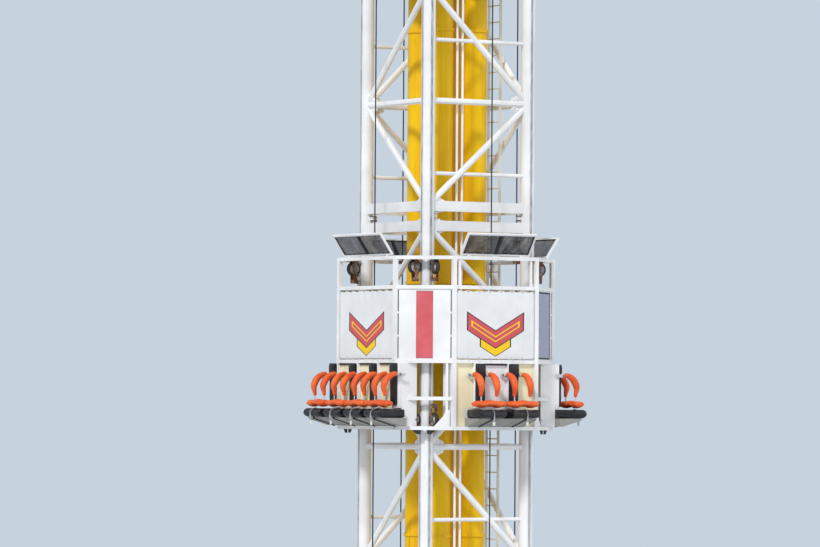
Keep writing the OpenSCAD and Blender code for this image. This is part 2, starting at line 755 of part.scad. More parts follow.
// The ears and pin of one harness hinge
module clevis() {
    inner = clevis_w / 2 + ear_gap;
    for (s = [-1, 1]) translate([0, s * (inner + ear_t / 2) + ear_t / 2, 0]) rotate([90, 0, 0])
        linear_extrude(height = ear_t) {
            translate([-hinge_out + seat_gap, -32]) square([hinge_out - seat_gap, 64]);
            circle(r = 32);
        }
    translate([0, -inner - ear_t, 0]) rotate([-90, 0, 0]) cylinder(d = pin_d, h = 2 * (inner + ear_t));
}

module hinge_brackets() {
    color("gray") for (k = [0:3]) on_carriage(k) for (y = seats_of(k), s = [-1, 1])
        translate([hinge_x, y + s * arm_half, hinge_z]) clevis();
}

// One arm: hub, root tube, foam and the rod down to the lap pad
module harness_arm() {
    r = foam_d / 2;
    start = 80;
    translate([hinge_x, clevis_w / 2, hinge_z]) rotate([90, 0, 0])
        tube(2 * pin_d, pin_d + 2 * run_gap, clevis_w);
    translate([hinge_x + pin_d - 4, 0, hinge_z]) rotate([0, 90, 0]) cylinder(d = 40, h = start - pin_d + 8);
    translate([hinge_x + start, 0, hinge_z]) rotate([0, 90, 0]) cylinder(r = r, h = arm_run - start);
    translate([hinge_x + arm_run, 0, hinge_z - arm_bend]) rotate([90, 0, 0])
        rotate_extrude(angle = 90) translate([arm_bend, 0]) circle(r = r);
    translate([arm_x, 0, foam_low]) cylinder(r = r, h = hinge_z - arm_bend - foam_low);
    translate([arm_x - 10, 0, lap_z]) cylinder(d = 34, h = foam_low - lap_z + 1);
}

module harness(k, n) {
    color("orangered") on_carriage(k) translate([0, seats_of(k)[n], 0]) {
        for (s = [-1, 1]) translate([0, s * arm_half, 0]) harness_arm();
        translate([0, lap_w / 2, lap_z]) rotate([90, 0, 0]) linear_extrude(height = lap_w) {
            translate([lap_in, 0]) circle(d = lap_d);
            translate([lap_out, 0]) circle(d = lap_d);
            translate([lap_in, -lap_d / 2]) square([lap_out - lap_in, lap_d]);
        }
    }
}

top_plate_z = top_ring_z - bed_t - 5;
low_plate_z = -bed_t + 5;

base_frame();
legs();
leg_flanges();
side_lattice(0);  // lattice_front
side_lattice(1);  // lattice_right
side_lattice(2);  // lattice_back
side_lattice(3);  // lattice_left
cylinder_seat();
cylinders();
cylinder_caps();
head_frame();
head_sheaves();
base_sheaves();
ropes();
service_pipes();
ladder();
side_frame(0);  // frame_front
side_frame(1);  // frame_right
side_frame(2);  // frame_back
side_frame(3);  // frame_left
corner_frames();
corner_panels();
banners();
canopy_frames();
canopy_panes();
rope_guides();
wheel_brackets(upper_wheel_z, top_plate_z);  // wheel_brackets_top
wheel_brackets(lower_wheel_z, low_plate_z);  // wheel_brackets_bottom
wheel_pair(0, upper_wheel_z);  // wheels_top_front
wheel_pair(1, upper_wheel_z);  // wheels_top_right
wheel_pair(2, upper_wheel_z);  // wheels_top_back
wheel_pair(3, upper_wheel_z);  // wheels_top_left
wheel_pair(0, lower_wheel_z);  // wheels_low_front
wheel_pair(1, lower_wheel_z);  // wheels_low_right
wheel_pair(2, lower_wheel_z);  // wheels_low_back
wheel_pair(3, lower_wheel_z);  // wheels_low_left
cabinets();
seat_pans();
seat_backs();
seat_trays();
hinge_brackets();
harness(0, 0);  // harness_front_1
harness(0, 1);  // harness_front_2
harness(1, 0);  // harness_right_1
harness(1, 1);  // harness_right_2
harness(1, 2);  // harness_right_3
harness(1, 3);  // harness_right_4
harness(2, 0);  // harness_back_1
harness(2, 1);  // harness_back_2
harness(3, 0);  // harness_left_1
harness(3, 1);  // harness_left_2
harness(3, 2);  // harness_left_3
harness(3, 3);  // harness_left_4
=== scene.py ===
"""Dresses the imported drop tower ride: finishes for every part, and the soft and small pieces."""

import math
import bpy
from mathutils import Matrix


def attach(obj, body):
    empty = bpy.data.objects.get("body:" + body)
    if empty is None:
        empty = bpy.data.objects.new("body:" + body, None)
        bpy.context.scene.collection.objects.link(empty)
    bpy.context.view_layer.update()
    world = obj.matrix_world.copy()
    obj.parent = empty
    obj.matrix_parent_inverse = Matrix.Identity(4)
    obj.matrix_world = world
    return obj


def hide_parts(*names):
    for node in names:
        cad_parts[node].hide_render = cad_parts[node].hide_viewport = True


bl_info = {
    "name": "Drop Tower Ride",
    "version": (1, 0, 0),
    "blender": (4, 5, 0),
    "location": "View3D > Sidebar > Ride",
    "description": "Finishes and detail pieces of a drop tower ride with a twelve seat carriage",
    "category": "Object",
}

import bmesh
import bpy
from bpy.props import FloatProperty, FloatVectorProperty, IntProperty, PointerProperty
from mathutils import Matrix, Vector, noise

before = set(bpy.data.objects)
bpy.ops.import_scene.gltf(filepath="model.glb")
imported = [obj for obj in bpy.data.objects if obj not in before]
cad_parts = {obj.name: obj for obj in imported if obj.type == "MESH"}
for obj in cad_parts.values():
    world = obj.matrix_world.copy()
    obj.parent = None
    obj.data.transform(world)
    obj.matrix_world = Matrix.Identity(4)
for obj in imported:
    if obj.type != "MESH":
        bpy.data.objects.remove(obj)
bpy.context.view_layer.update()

# The part's own sizes, in metres. A side's frame has x outwards, y along the side and
# z up from the carriage's bottom ring.
SIDES = {"front": -90, "right": 0, "back": 90, "left": 180}
LEG_AT = 1.225
BAY = 2.38
LEVELS = [1.95 + BAY * i for i in range(7)]
JOINT_Z = 11.47
JOINT_BEAM = 0.204
DECK_Z = 7.098
CAR_R = 1.92
RING = 0.075
POST = 0.084
MID_BAR = 1.373
UPPER_BAR = 2.894
TOP_RING = 3.5
SHORT_HALF = 1.0
LONG_HALF = 1.12
FACE_X = 1.8777
CAB_LOW = 0.0378
CAB_TOP = 1.3352
PITCH = 0.812
PAN_Z = 0.407
PAN_T = 0.2
PAN_REACH = 0.672
HINGE_X = 1.9997
HINGE_Z = 1.098
COLUMN_HALF = 0.108
COLUMN_T = 0.1
BACK_T = 0.078
BACK_LOW = 0.48
ARM_HALF = 0.19
ARM_RUN = 0.1
ARM_BEND = 0.26
ARM_X = HINGE_X + ARM_RUN + ARM_BEND
FOAM_LOW = 0.648
FOAM_R = 0.061
LAP_Z = 0.504
LAP_X = 2.357
LAP_DEPTH = 0.268
LAP_W = 0.76
WHEEL_X = 1.525
WHEELS_TOP = 3.313
WHEELS_LOW = 0.172
CYL_AT = 0.42
CYL_LOW = 2.05
SEAMS = (4.86, 10.125, 15.39)
SHEAVE_R = 0.6974
SHEAVE_AT = (1.085, 0.21)
SHEAVE_YAW = -17.52
HEAD_AXIS = 17.36
BASE_AXIS = 0.9814
HEAD_Z = 16.37
CANOPY_FOOT = (CAR_R - 0.02, 0, TOP_RING + RING / 2 + 0.04)
CANOPY_REACH, CANOPY_RISE, CANOPY_INSET, CANOPY_TUBE = 0.28, 0.405, 0.16, 0.04
CANOPY_LEN = math.hypot(CANOPY_REACH, CANOPY_RISE)

# The sizes of the detail pieces that no slider moves. RIM clears the face of a ring bar.
GAP = 0.004
RIM = RING / 2 + 0.001
BOARD_T = 0.004
TRAY_OVER = 0.29
TRAY_REACH = 0.56
RIB_GAP = 0.4
RIB_HALF = 0.006
WASHER_T = 0.006
WHEEL_BOLT_R = 0.074
NUT_OUT = 0.071
GUARD_OUT, GUARD_T = 0.0625, 0.007
PIN_OUT = 0.0615
FOAM_SEAMS = (0.3, 0.62)
BANNER_X = CAR_R + 0.016
BANNER_LOW, BANNER_HIGH = MID_BAR + RING / 2 + 0.012, UPPER_BAR - RING / 2 - 0.028
VINYL_T = 0.0016
HEM = 0.022
LACE_R = 0.0035
SEAL_OUT, SEAL_IN = -0.0105, -0.0055
STRIP_HALF, STRIP_TALL, STRIP_T = 0.175, 0.69, 0.003
SCREW_GAP = 0.33
SHADE_SHOE_DROP = RING / 2 + 0.085
GUSSET_HOLES = ((0.20, 0.13), (0.28, 0.11), (0.36, 0.085))
JOINT_HOLES = ((-0.19, -0.03), (-0.17, -0.11), (-0.11, -0.17), (-0.03, -0.19))
JOINT_T = 0.0303
FOOT_HOLE, FOOT_TOP = 0.18, 0.22
TOWER_TOP = 17
FLOOR_R = 45
WAYS = (-1, 1)

CAMERA_AZIMUTH = -32.0
CAMERA_AWAY = 98.2
CAMERA_HEIGHT = 7.68
CAMERA_YAW = 0.44
CAMERA_PITCH = 1.54
CAMERA_ROLL = 0.38
CAMERA_LENS = 206.0


def short_side(side):
    return side in ("front", "back")


def half_of(side):
    return SHORT_HALF if short_side(side) else LONG_HALF


def seats_of(side):
    steps = (-0.5, 0.5) if short_side(side) else (-1.5, -0.5, 0.5, 1.5)
    return [step * PITCH for step in steps]


def shift(x, y, z):
    return Matrix.Translation((x, y, z))


def turned(degrees, axis):
    return Matrix.Rotation(math.radians(degrees), 4, axis)


def on_side(side, height=0.0):
    """The frame of one side of the tower."""
    return shift(0, 0, height) @ turned(SIDES[side], "Z")


def on_carriage(side):
    """The frame of one side of the carriage, from its bottom ring up."""
    return on_side(side, DECK_Z)


def seat_spots(side):
    """The frames of the seats of one side."""
    return [on_carriage(side) @ shift(0, y, 0) for y in seats_of(side)]


# ---------------------------------------------------------------- sizes and colours

def shade(*parts):
    """A colour as seen on a screen, from 0 to 255, turned into the linear one that Blender uses."""
    parts = [part / 255 for part in parts]
    return (*(part / 12.92 if part <= 0.04045 else ((part + 0.055) / 1.055) ** 2.4
              for part in parts), 1.0)


def tint(colour, *factors, lift=0.0):
    """A colour made lighter or darker, by one factor or by one for each of its parts."""
    return [min(1.0, part * factor + lift)
            for part, factor in zip(colour[:3], factors * 3)] + [1.0]


def colour_of(name, about, *parts):
    return FloatVectorProperty(name=name, description=about, subtype="COLOR", size=4,
                               min=0.0, max=1.0, default=shade(*parts))


def size_of(name, about, default):
    return FloatProperty(name=name, description=about, default=default, unit="LENGTH")


class RideColours(bpy.types.PropertyGroup):
    """The paint and cover colours of the ride."""
    white: colour_of("White paint", "Paint of the legs, lattice and carriage", 241, 242, 243)
    cream: colour_of("Cream boards", "Boards between the seat backs", 254, 244, 204)
    yellow: colour_of("Yellow paint", "Paint of the drive cylinders", 252, 208, 8)
    grey: colour_of("Grey paint", "Paint of the base and the head", 150, 153, 157)
    orange: colour_of("Harness foam", "Moulded foam of the shoulder harnesses", 240, 100, 42)
    black: colour_of("Seat cover", "Cover of the seats and backs", 19, 19, 22)
    red: colour_of("Strip red", "Painted strip on the corner panels", 208, 84, 92)
    vinyl: colour_of("Banner vinyl", "Ground of the banners", 238, 240, 242)
    backdrop: colour_of("Backdrop", "The plain ground behind the ride", 198, 210, 221)


class RideSizes(bpy.types.PropertyGroup):
    """The sizes of the detail pieces."""
    rope_d: size_of("Rope", "Diameter of the wire ropes", 0.028)
    rope_lay: size_of("Rope lay", "Height of one turn of a strand", 0.2)
    banner_wave: size_of("Banner wave", "Depth of the folds of a banner", 0.012)
    eyelet_gap: size_of("Eyelets", "Distance between two banner eyelets", 0.27)
    bolt: size_of("Bolt", "Width of a bolt head across its flats", 0.036)
    strands: IntProperty(name="Strands", description="Number of strands in a rope", default=6)


# ---------------------------------------------------------------- finishes

DIRT = shade(96, 90, 80)
GRIME = shade(52, 48, 44)
RUST = shade(128, 74, 42)
FINISHES = {}


class Finish:
    """One node material under construction, round its Principled shader."""

    def __init__(self, name, rough=0.5, metal=0.0, **sockets):
        material = FINISHES[name] = bpy.data.materials.new(f"{name}_finish")
        material.use_nodes = True
        self.nodes = material.node_tree.nodes
        self.links = material.node_tree.links
        self.inputs = self.nodes["Principled BSDF"].inputs
        for socket, value in {"Roughness": rough, "Metallic": metal, **sockets}.items():
            self.inputs[socket.replace("_", " ")].default_value = value
        coords = self.nodes.new("ShaderNodeTexCoord")
        self.place = coords.outputs["Object"]
        self.uv = coords.outputs["UV"]

    def feed(self, socket, value):
        if isinstance(value, bpy.types.NodeSocket):
            self.links.new(value, socket)
        else:
            socket.default_value = value

    def add(self, kind, inputs, output=0, **settings):
        """A new node's output, with its inputs fed."""
        node = self.nodes.new(kind)
        for key, value in settings.items():
            setattr(node, key, value)
        for key, value in inputs.items():
            self.feed(node.inputs[key], value)
        return node.outputs[output]

    def stretch(self, size):
        """The place of a point, scaled along each axis or by one number."""
        size = size if hasattr(size, "__len__") else (size, size, size)
        return self.add("ShaderNodeMapping", {"Vector": self.place, "Scale": size})

    def noise(self, size, detail=4.0, rough=0.55):
        """Noise of so many lumps to a metre along each axis."""
        return self.add("ShaderNodeTexNoise", {"Vector": self.stretch(size), "Scale": 1.0,
                                               "Detail": detail, "Roughness": rough}, "Fac")

    def spread(self, value, low, high, start=0.0, end=1.0):
        """Moves a value from one range to another and keeps it in there."""
        return self.add("ShaderNodeMapRange", {
            "Value": value, "From Min": low, "From Max": high, "To Min": start, "To Max": end,
        }, "Result", clamp=True)

    def patches(self, low, high, size, detail=4.0, rough=0.55, start=0.0, end=1.0):
        """The part of a noise between two values, spread over a range."""
        return self.spread(self.noise(size, detail, rough), low, high, start, end)

    def maths(self, operation, first, second=0.0):
        return self.add("ShaderNodeMath", {0: first, 1: second}, operation=operation)

    def times(self, product, *factors):
        for factor in factors:
            product = self.maths("MULTIPLY", product, factor)
        return product

    def mix(self, share, first, second):
        """The second colour over the first one."""
        return self.add("ShaderNodeMix", {0: share, 6: first, 7: second}, 2, data_type="RGBA")

    def axes(self, source=None):
        """The three parts of a point's place."""
        return self.add("ShaderNodeSeparateXYZ", {"Vector": source or self.place}).node.outputs[:]

    def near(self, value, centre, width, soft):
        """One where a value is within a width of a centre, and nought elsewhere."""
        away = self.maths("ABSOLUTE", self.maths("SUBTRACT", value, centre))
        return self.spread(away, width + soft, width - soft)

    def lay(self, share, over, under=None):
        """Lays a colour over another one, or over what the finish has so far."""
        base = self.inputs["Base Color"]
        self.feed(base, self.mix(share, under or base.links[0].from_socket, over))

    def roughness(self, share, smooth, dull, low=0.0, high=1.0):
        self.feed(self.inputs["Roughness"], self.spread(share, low, high, smooth, dull))

    def bump(self, height, depth, strength):
        """Relief of a given depth in metres, over the relief so far."""
        normal = self.inputs["Normal"]
        inputs = {"Height": height, "Distance": depth, "Strength": strength}
        if normal.is_linked:
            inputs["Normal"] = normal.links[0].from_socket
        self.feed(normal, self.add("ShaderNodeBump", inputs, "Normal"))


def weathered(name, paint, dirt, rust, **sockets):
    """Paint with faded patches, streaks of dirt that run down it, and specks of rust."""
    finish = Finish(name, **sockets)
    finish.lay(finish.patches(0.35, 0.7, 1.3, 3), tint(paint, 1.06, lift=0.01), tint(paint, 0.9))
    runs = finish.patches(0.56, 0.78, (22, 22, 0.9), 5, 0.6)
    spots = finish.patches(0.48, 0.8, 2.6, 5, 0.62)
    finish.lay(finish.times(runs, spots, dirt * 2.2), DIRT)
    specks = finish.patches(0.69, 0.76, 34, 6, 0.66)
    weep = finish.patches(0.58, 0.72, (9, 9, 1.6), 4, 0.5)
    finish.lay(finish.maths("MINIMUM", finish.times(specks, weep, rust * 5), 1.0), RUST)
    finish.roughness(finish.noise(7), 0.34, 0.56, 0.3, 0.7)
    finish.bump(finish.noise(160, 3), 0.0004, 0.25)
    return finish


def leg_paint(paint):
    """White paint, worn grey along the lines on which the guide wheels run."""
    finish = weathered("leg_paint", paint, 0.3, 0.12, Coat_Weight=0.15, Coat_Roughness=0.3)
    x, y = finish.axes()[:2]
    tracks = []
    for first, second in ((x, y), (y, x)):
        far = finish.spread(finish.maths("ABSOLUTE", first), LEG_AT + 0.10, LEG_AT + 0.115)
        line = finish.near(finish.maths("ABSOLUTE", second), LEG_AT, 0.03, 0.012)
        tracks.append(finish.times(far, line))
    scuffs = finish.patches(0.3, 0.62, (30, 30, 3.5), 6, 0.6, 0.35)
    finish.lay(finish.times(scuffs, 0.85, finish.maths("MAXIMUM", *tracks)), shade(104, 102, 100))


def cylinder_paint(paint):
    """Yellow gloss paint, darker under each flange seam and in long streaks."""
    finish = Finish("cylinder_paint", Coat_Weight=0.05, Coat_Roughness=0.2,
                    Specular_IOR_Level=0.25)
    finish.lay(finish.patches(0.3, 0.72, (2.5, 2.5, 0.5)), paint, tint(paint, 0.88, 0.76, 1))
    up = finish.axes()[2]
    under = 0.0
    for seam in SEAMS:
        below = finish.spread(up, seam - 1.3, seam - 0.03)
        above = finish.spread(up, seam + 0.035, seam + 0.02)
        under = finish.maths("MAXIMUM", finish.times(below, above), under)
    runs = finish.patches(0.5, 0.75, (30, 30, 0.7), 5, 0.6)
    finish.lay(finish.times(runs, finish.spread(under, 0, 1, 0.16, 0.5)), shade(120, 84, 20))
    finish.lay(finish.patches(0.7, 0.78, 26, 6, 0.66, 0, 0.7), RUST)
    finish.roughness(finish.noise(5), 0.26, 0.5, 0.3, 0.7)
    finish.bump(finish.noise(120, 3), 0.0005, 0.3)


def bare_steel(name, steel, rough, grease):
    """Machined or galvanised steel with grease and tarnish."""
    finish = Finish(name, rough, 0.85)
    tarnish = finish.patches(0.35, 0.7, 12, 6, 0.62)
    finish.lay(tarnish, tint(steel, 0.55), steel)
    finish.lay(finish.patches(0.5, 0.72, (7, 7, 3), 5, 0.6, 0, grease * 2), GRIME)
    finish.roughness(tarnish, rough - 0.12, rough + 0.2)
    finish.bump(finish.noise((260, 260, 40), 3), 0.0003, 0.3)


def rusty_paint(name, paint):
    """Bracket paint that has mostly gone to rust and old grease round the wheels."""
    finish = Finish(name, 0.6)
    rust = finish.patches(0.36, 0.54, 9, 6, 0.64)
    finish.lay(rust, RUST, paint)
    pits = finish.patches(0.52, 0.7, 60, 5, 0.66)
    finish.lay(finish.times(pits, rust), shade(78, 42, 26))
    grease = finish.patches(0.47, 0.66, (5, 5, 2.4), end=0.8)
    finish.lay(grease, GRIME)
    finish.roughness(grease, 0.72, 0.36)
    finish.bump(pits, 0.0012, 0.6)


def tyre_finish():
    """Dark cast tread, polished where it rolls and dusty on its sides."""
    finish = Finish("guide_tyre", 0.5)
    dust = finish.patches(0.4, 0.75, 18, 5, 0.6)
    finish.lay(dust, shade(84, 70, 58), shade(30, 27, 26))
    finish.roughness(dust, 0.42, 0.8)
    finish.bump(finish.noise(220), 0.0006, 0.5)


def rope_wire(strands, turn):
    """Steel strands that wind round the rope along its own map, near black in the hollows between
    them.
    """
    finish = Finish("rope_wire", 0.48, 0.7)
    around, run = finish.axes(finish.uv)[:2]
    turns = finish.maths("ADD", finish.times(around, strands),
                         finish.maths("DIVIDE", run, turn / strands))
    wave = finish.maths("SINE", finish.times(turns, math.tau))
    grease = finish.patches(0.35, 0.7, (3, 3, 1.2), start=0.2, end=0.75)
    metal = finish.mix(grease, shade(112, 110, 106), shade(46, 43, 40))
    finish.lay(finish.spread(wave, -0.9, 0.5), metal, shade(22, 20, 19))
    finish.roughness(grease, 0.36, 0.62)
    finish.bump(wave, 0.003, 0.9)


def canopy_pane():
    """Smoked plastic pane, streaked by rain and dusty at its edges."""
    finish = Finish("tinted_pane", 0.12, IOR=1.5, Alpha=0.7)
    film = finish.patches(0.44, 0.74, (4.5, 4.5, 1.1), 4, 0.5)
    finish.lay(film, shade(150, 146, 142), shade(56, 55, 58))
    finish.roughness(film, 0.08, 0.4)


def seat_cover(paint):
    """Black integral skin foam with a fine grain, greyer where riders rub it."""
    finish = Finish("seat_cover", 0.5, Specular_IOR_Level=0.45)
    rubbed = finish.patches(0.45, 0.75, 8, 5, 0.6)
    finish.lay(rubbed, tint(paint, 2.6, lift=0.01), paint)
    finish.roughness(rubbed, 0.38, 0.62)
    grain = finish.add("ShaderNodeTexVoronoi", {"Vector": finish.stretch(420), "Scale": 1.0},
                       "Distance")
    finish.bump(grain, 0.0006, 0.45)
    finish.bump(finish.noise(24), 0.002, 0.3)


def harness_foam(paint):
    """Orange moulded foam, sun faded on top, scuffed and a little grimy in its hollows."""
    finish = Finish("harness_foam", 0.55, Specular_IOR_Level=0.35)
    fade = finish.patches(0.35, 0.7, 4, 4, 0.6)
    finish.lay(fade, tint(paint, 1.05, 1.35, 1.5), tint(paint, 0.84, 0.7, 0.7))
    finish.lay(finish.patches(0.6, 0.74, 30, 6, 0.66, 0, 0.55), shade(110, 44, 24))
    finish.roughness(fade, 0.45, 0.66)
    finish.bump(finish.noise(300, 3), 0.0006, 0.4)
    finish.bump(finish.noise(20, 3), 0.004, 0.35)


def banner_vinyl(vinyl, red, yellow):
    """Reinforced vinyl with rain streaks and printed arrows that point down, on its own map."""
    finish = Finish("banner_vinyl", 0.42, Specular_IOR_Level=0.4)
    across, up = finish.axes(finish.uv)[:2]
    fade = finish.patches(0.3, 0.72, 1.6)
    finish.lay(fade, vinyl, tint(vinyl, 0.88))
    edge = finish.maths("ABSOLUTE", across)
    height = finish.maths("ADD", up, finish.times(edge, -0.55))
    wear = finish.patches(0.66, 0.78, 70, 5, 0.66, 1.0, 0.55)
    black, soft = shade(28, 26, 30), 0.002
    for centre, tall, wide, ink in (
            (-0.30, 0.195, 0.70, black), (-0.30, 0.173, 0.67, red), (-0.29, 0.062, 0.59, yellow),
            (-0.29, 0.036, 0.55, red), (-0.56, 0.092, 0.38, black), (-0.56, 0.073, 0.35, yellow)):
        inside = finish.spread(edge, wide + soft, wide - soft)
        finish.lay(finish.times(finish.near(height, centre, tall, soft), inside, wear), ink)
    runs = finish.patches(0.56, 0.76, (26, 26, 1.1), 5, 0.6)
    finish.lay(finish.times(runs, finish.patches(0.5, 0.72, 2.2, end=0.32)), shade(96, 98, 88))
    finish.lay(finish.times(finish.spread(up, -0.60, -0.73, 0, 0.3), fade), DIRT)
    weave = finish.add("ShaderNodeTexChecker", {"Vector": finish.uv, "Scale": 420.0}, "Fac")
    finish.bump(weave, 0.0003, 0.25)
    finish.bump(finish.noise((5, 5, 2.2)), 0.012, 0.35)


def webbing():
    """Woven pale grey belt, with its threads along its own map."""
    finish = Finish("belt_web", 0.7, Sheen_Weight=0.3)
    around, run = finish.axes(finish.uv)[:2]
    weave = finish.maths("SINE", finish.times(run, math.tau / 0.003))
    cord = finish.maths("SINE", finish.times(around, math.tau * 12))
    finish.lay(finish.spread(weave, -1, 1), shade(202, 204, 208), shade(150, 152, 158))
    finish.bump(finish.times(weave, cord), 0.0006, 0.6)


def moulded(name, plastic, rough):
    """Moulded plastic or rubber, a little chalky."""
    finish = Finish(name, rough)
    finish.lay(finish.patches(0.4, 0.75, 16, 5, 0.6), tint(plastic, 1.3, lift=0.02), plastic)
    finish.bump(finish.noise(380, 2), 0.0003, 0.3)


def strip_paint(red):
    """Red panel paint, faded, with a darker worn border that follows its own map."""
    finish = Finish("strip_red", 0.4)
    across, up = (finish.maths("ABSOLUTE", axis) for axis in finish.axes(finish.uv)[:2])
    finish.lay(finish.patches(0.3, 0.7, 3), tint(red, 1.12, 1.5, 1.5), red)
    border = finish.maths("MAXIMUM", finish.spread(across, 0.136, 0.139),
                          finish.spread(up, 0.674, 0.677))
    finish.lay(border, shade(110, 22, 30))
    finish.lay(finish.patches(0.7, 0.76, 48, 6, 0.66, 0, 0.8), shade(214, 190, 186))
    finish.bump(finish.noise(140, 3), 0.0004, 0.3)


# ---------------------------------------------------------------- mesh making

def stamp(bm, part, place, keep=False):
    """Copies the bmesh of one part into another one, at a place, and drops it if not kept."""
    mesh = bpy.data.meshes.new("stamp")
    part.to_mesh(mesh)
    mesh.transform(place)
    bm.from_mesh(mesh)
    bpy.data.meshes.remove(mesh)
    if not keep:
        part.free()


def verts_in(items):
    return [item for item in items if isinstance(item, bmesh.types.BMVert)]


def add_box(bm, first, last, place=Matrix(), bevel=0.0, steps=2):
    """A box between two corners, in either order, with round edges."""
    low, high = (Vector(ends) for ends in zip(*map(sorted, zip(first, last))))
    made = bmesh.ops.create_cube(bm, size=1.0, matrix=place @ shift(*(low + high) / 2)
                                 @ Matrix.Diagonal((*(high - low), 1.0)))["verts"]
    if bevel:
        edges = list(dict.fromkeys(edge for vert in made for edge in vert.link_edges))
        bmesh.ops.bevel(bm, geom=edges, offset=bevel, segments=steps, profile=0.5,
                        affect="EDGES", material=-1)


def along(start, end):
    """A frame at a start point whose z axis runs to an end point."""
    start, end = Vector(start), Vector(end)
    return shift(*start) @ (end - start).to_track_quat("Z", "Y").to_matrix().to_4x4()


def add_cone(bm, place, sides, foot, top, length, start=0.0):
    """A closed bar or cone along the z axis of a place."""
    bmesh.ops.create_cone(bm, cap_ends=True, segments=sides, radius1=foot, radius2=top,
                          depth=length, matrix=place @ shift(0, 0, start + length / 2))


def add_rod(bm, start, end, radius, sides, place=Matrix()):
    """A round bar between two points."""
    length = (Vector(end) - Vector(start)).length
    add_cone(bm, place @ along(start, end), sides, radius, radius, length)


def add_bolt(bm, spot, toward, size, washer=True):
    """A hexagon head on a washer, whose axis points toward a direction."""
    place = along(spot, Vector(spot) + Vector(toward))
    if washer:
        add_cone(bm, place, 12, size * 0.95, size * 0.95, WASHER_T)
    add_cone(bm, place, 6, size * 0.577, size * 0.54, size * 0.6, WASHER_T)


def mirrored(half, *middle):
    """A closed lathe profile from its lower half and a point between the halves."""
    return [*half, *middle, *((radius, -height) for radius, height in reversed(half)), half[0]]


def add_lathe(bm, profile, steps, place=Matrix()):
    """A shape turned about its z axis from (radius, height) points."""
    part = bmesh.new()
    points = [part.verts.new((radius, 0, height)) for radius, height in profile]
    edges = [part.edges.new(pair) for pair in zip(points, points[1:])]
    bmesh.ops.spin(part, geom=points + edges, cent=(0, 0, 0), axis=(0, 0, 1),
                   angle=math.tau, steps=steps, use_merge=True)
    bmesh.ops.remove_doubles(part, verts=part.verts, dist=1e-5)
    bmesh.ops.recalc_face_normals(part, faces=part.faces)
    stamp(bm, part, place)


def frames_along(points):
    """A frame at each point of a path, with z along it, that doesn't twist."""
    frames, turn = [], None
    for i, point in enumerate(points):
        ahead = points[min(i + 1, len(points) - 1)] - points[max(i - 1, 0)]
        ahead.normalize()
        if turn is None:
            turn = ahead.to_track_quat("Z", "Y")
        else:
            turn = before.rotation_difference(ahead) @ turn
        before = ahead
        frames.append(shift(*point) @ turn.to_matrix().to_4x4())
    return frames


def add_tube(bm, points, radius, sides, place=Matrix(), swell=lambda i, share: (1.0, 1.0)):
    """A closed tube along a path, mapped round and along. Swell gives the scales of a ring
    in both directions from its number and its share of the length."""
    points = [Vector(point) for point in points]
    part = bmesh.new()
    uv = part.loops.layers.uv.new("UVMap")
    layers = part.verts.layers.float
    turn, run = layers.new("turn"), layers.new("run")
    frames, lengths = frames_along(points), [0.0]
    for first, second in zip(points, points[1:]):
        lengths.append(lengths[-1] + (second - first).length)
    sections = [spot @ Matrix.Diagonal((*swell(i, length / lengths[-1]), 1.0, 1.0))
                for i, (spot, length) in enumerate(zip(frames, lengths))]

    root = bmesh.ops.create_circle(part, cap_ends=False, segments=sides, radius=radius)["verts"]
    for vert in root:
        vert[turn] = math.atan2(vert.co.y, vert.co.x) / math.tau % 1.0
    bmesh.ops.transform(part, matrix=sections[0], verts=root)
    edges = list(part.edges)
    for before, section, length in zip(sections, sections[1:], lengths[1:]):
        made = bmesh.ops.extrude_edge_only(part, edges=edges)["geom"]
        ring = verts_in(made)
        fresh = set(ring)
        edges = [item for item in made if isinstance(item, bmesh.types.BMEdge)
                 and set(item.verts) <= fresh]
        bmesh.ops.transform(part, matrix=section @ before.inverted(), verts=ring)
        for vert in ring:
            vert[run] = length
    for face in part.faces:
        turns = [loop.vert[turn] for loop in face.loops]
        for loop, value in zip(face.loops, turns):
            seam = max(turns) - min(turns) > 0.5 and value < 0.5
            loop[uv].uv = (value + 1.0 if seam else value, loop.vert[run])
    for end in (root, ring):
        bmesh.ops.contextual_create(part, geom=end)
    for name in ("turn", "run"):
        layers.remove(layers[name])
    bmesh.ops.recalc_face_normals(part, faces=part.faces)
    stamp(bm, part, place)


def add_prism(bm, outline, start, end, place=Matrix()):
    """A bar along y between two places, whose cross section is an (x, z) outline."""
    part = bmesh.new()
    face = part.faces.new([part.verts.new((x, start, z)) for x, z in outline])
    made = bmesh.ops.extrude_face_region(part, geom=[face])["geom"]
    bmesh.ops.translate(part, vec=(0, end - start, 0), verts=verts_in(made))
    bmesh.ops.recalc_face_normals(part, faces=part.faces)
    stamp(bm, part, place)


def arc_points(centre, start, across, radius, sweep, steps):
    """Points on an arc round a centre, from a start direction towards an across direction."""
    centre, start, across = Vector(centre), Vector(start), Vector(across)
    return [centre + radius * (math.cos(sweep * i / steps) * start
                               + math.sin(sweep * i / steps) * across)
            for i in range(steps + 1)]


def in_finish(bm, index):
    """Gives the faces that have been made since the last call the finish of that number."""
    for face in bm.faces:
        if not face.tag:
            face.material_index = index
            face.tag = True


def make_piece(name, bm, finishes, replaces=(), body="carriage", sharp=40):
    """Turns a bmesh into a piece that rides on a body."""
    mesh = bpy.data.meshes.new(name)
    bm.to_mesh(mesh)
    bm.free()
    for finish in finishes.split():
        mesh.materials.append(FINISHES[finish])
    mesh.polygons.foreach_set("use_smooth", [True] * len(mesh.polygons))
    mesh.set_sharp_from_angle(angle=math.radians(sharp))
    obj = bpy.data.objects.new(name, mesh)
    bpy.context.scene.collection.objects.link(obj)
    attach(obj, body)
    if replaces:
        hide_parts(*replaces)
    return obj


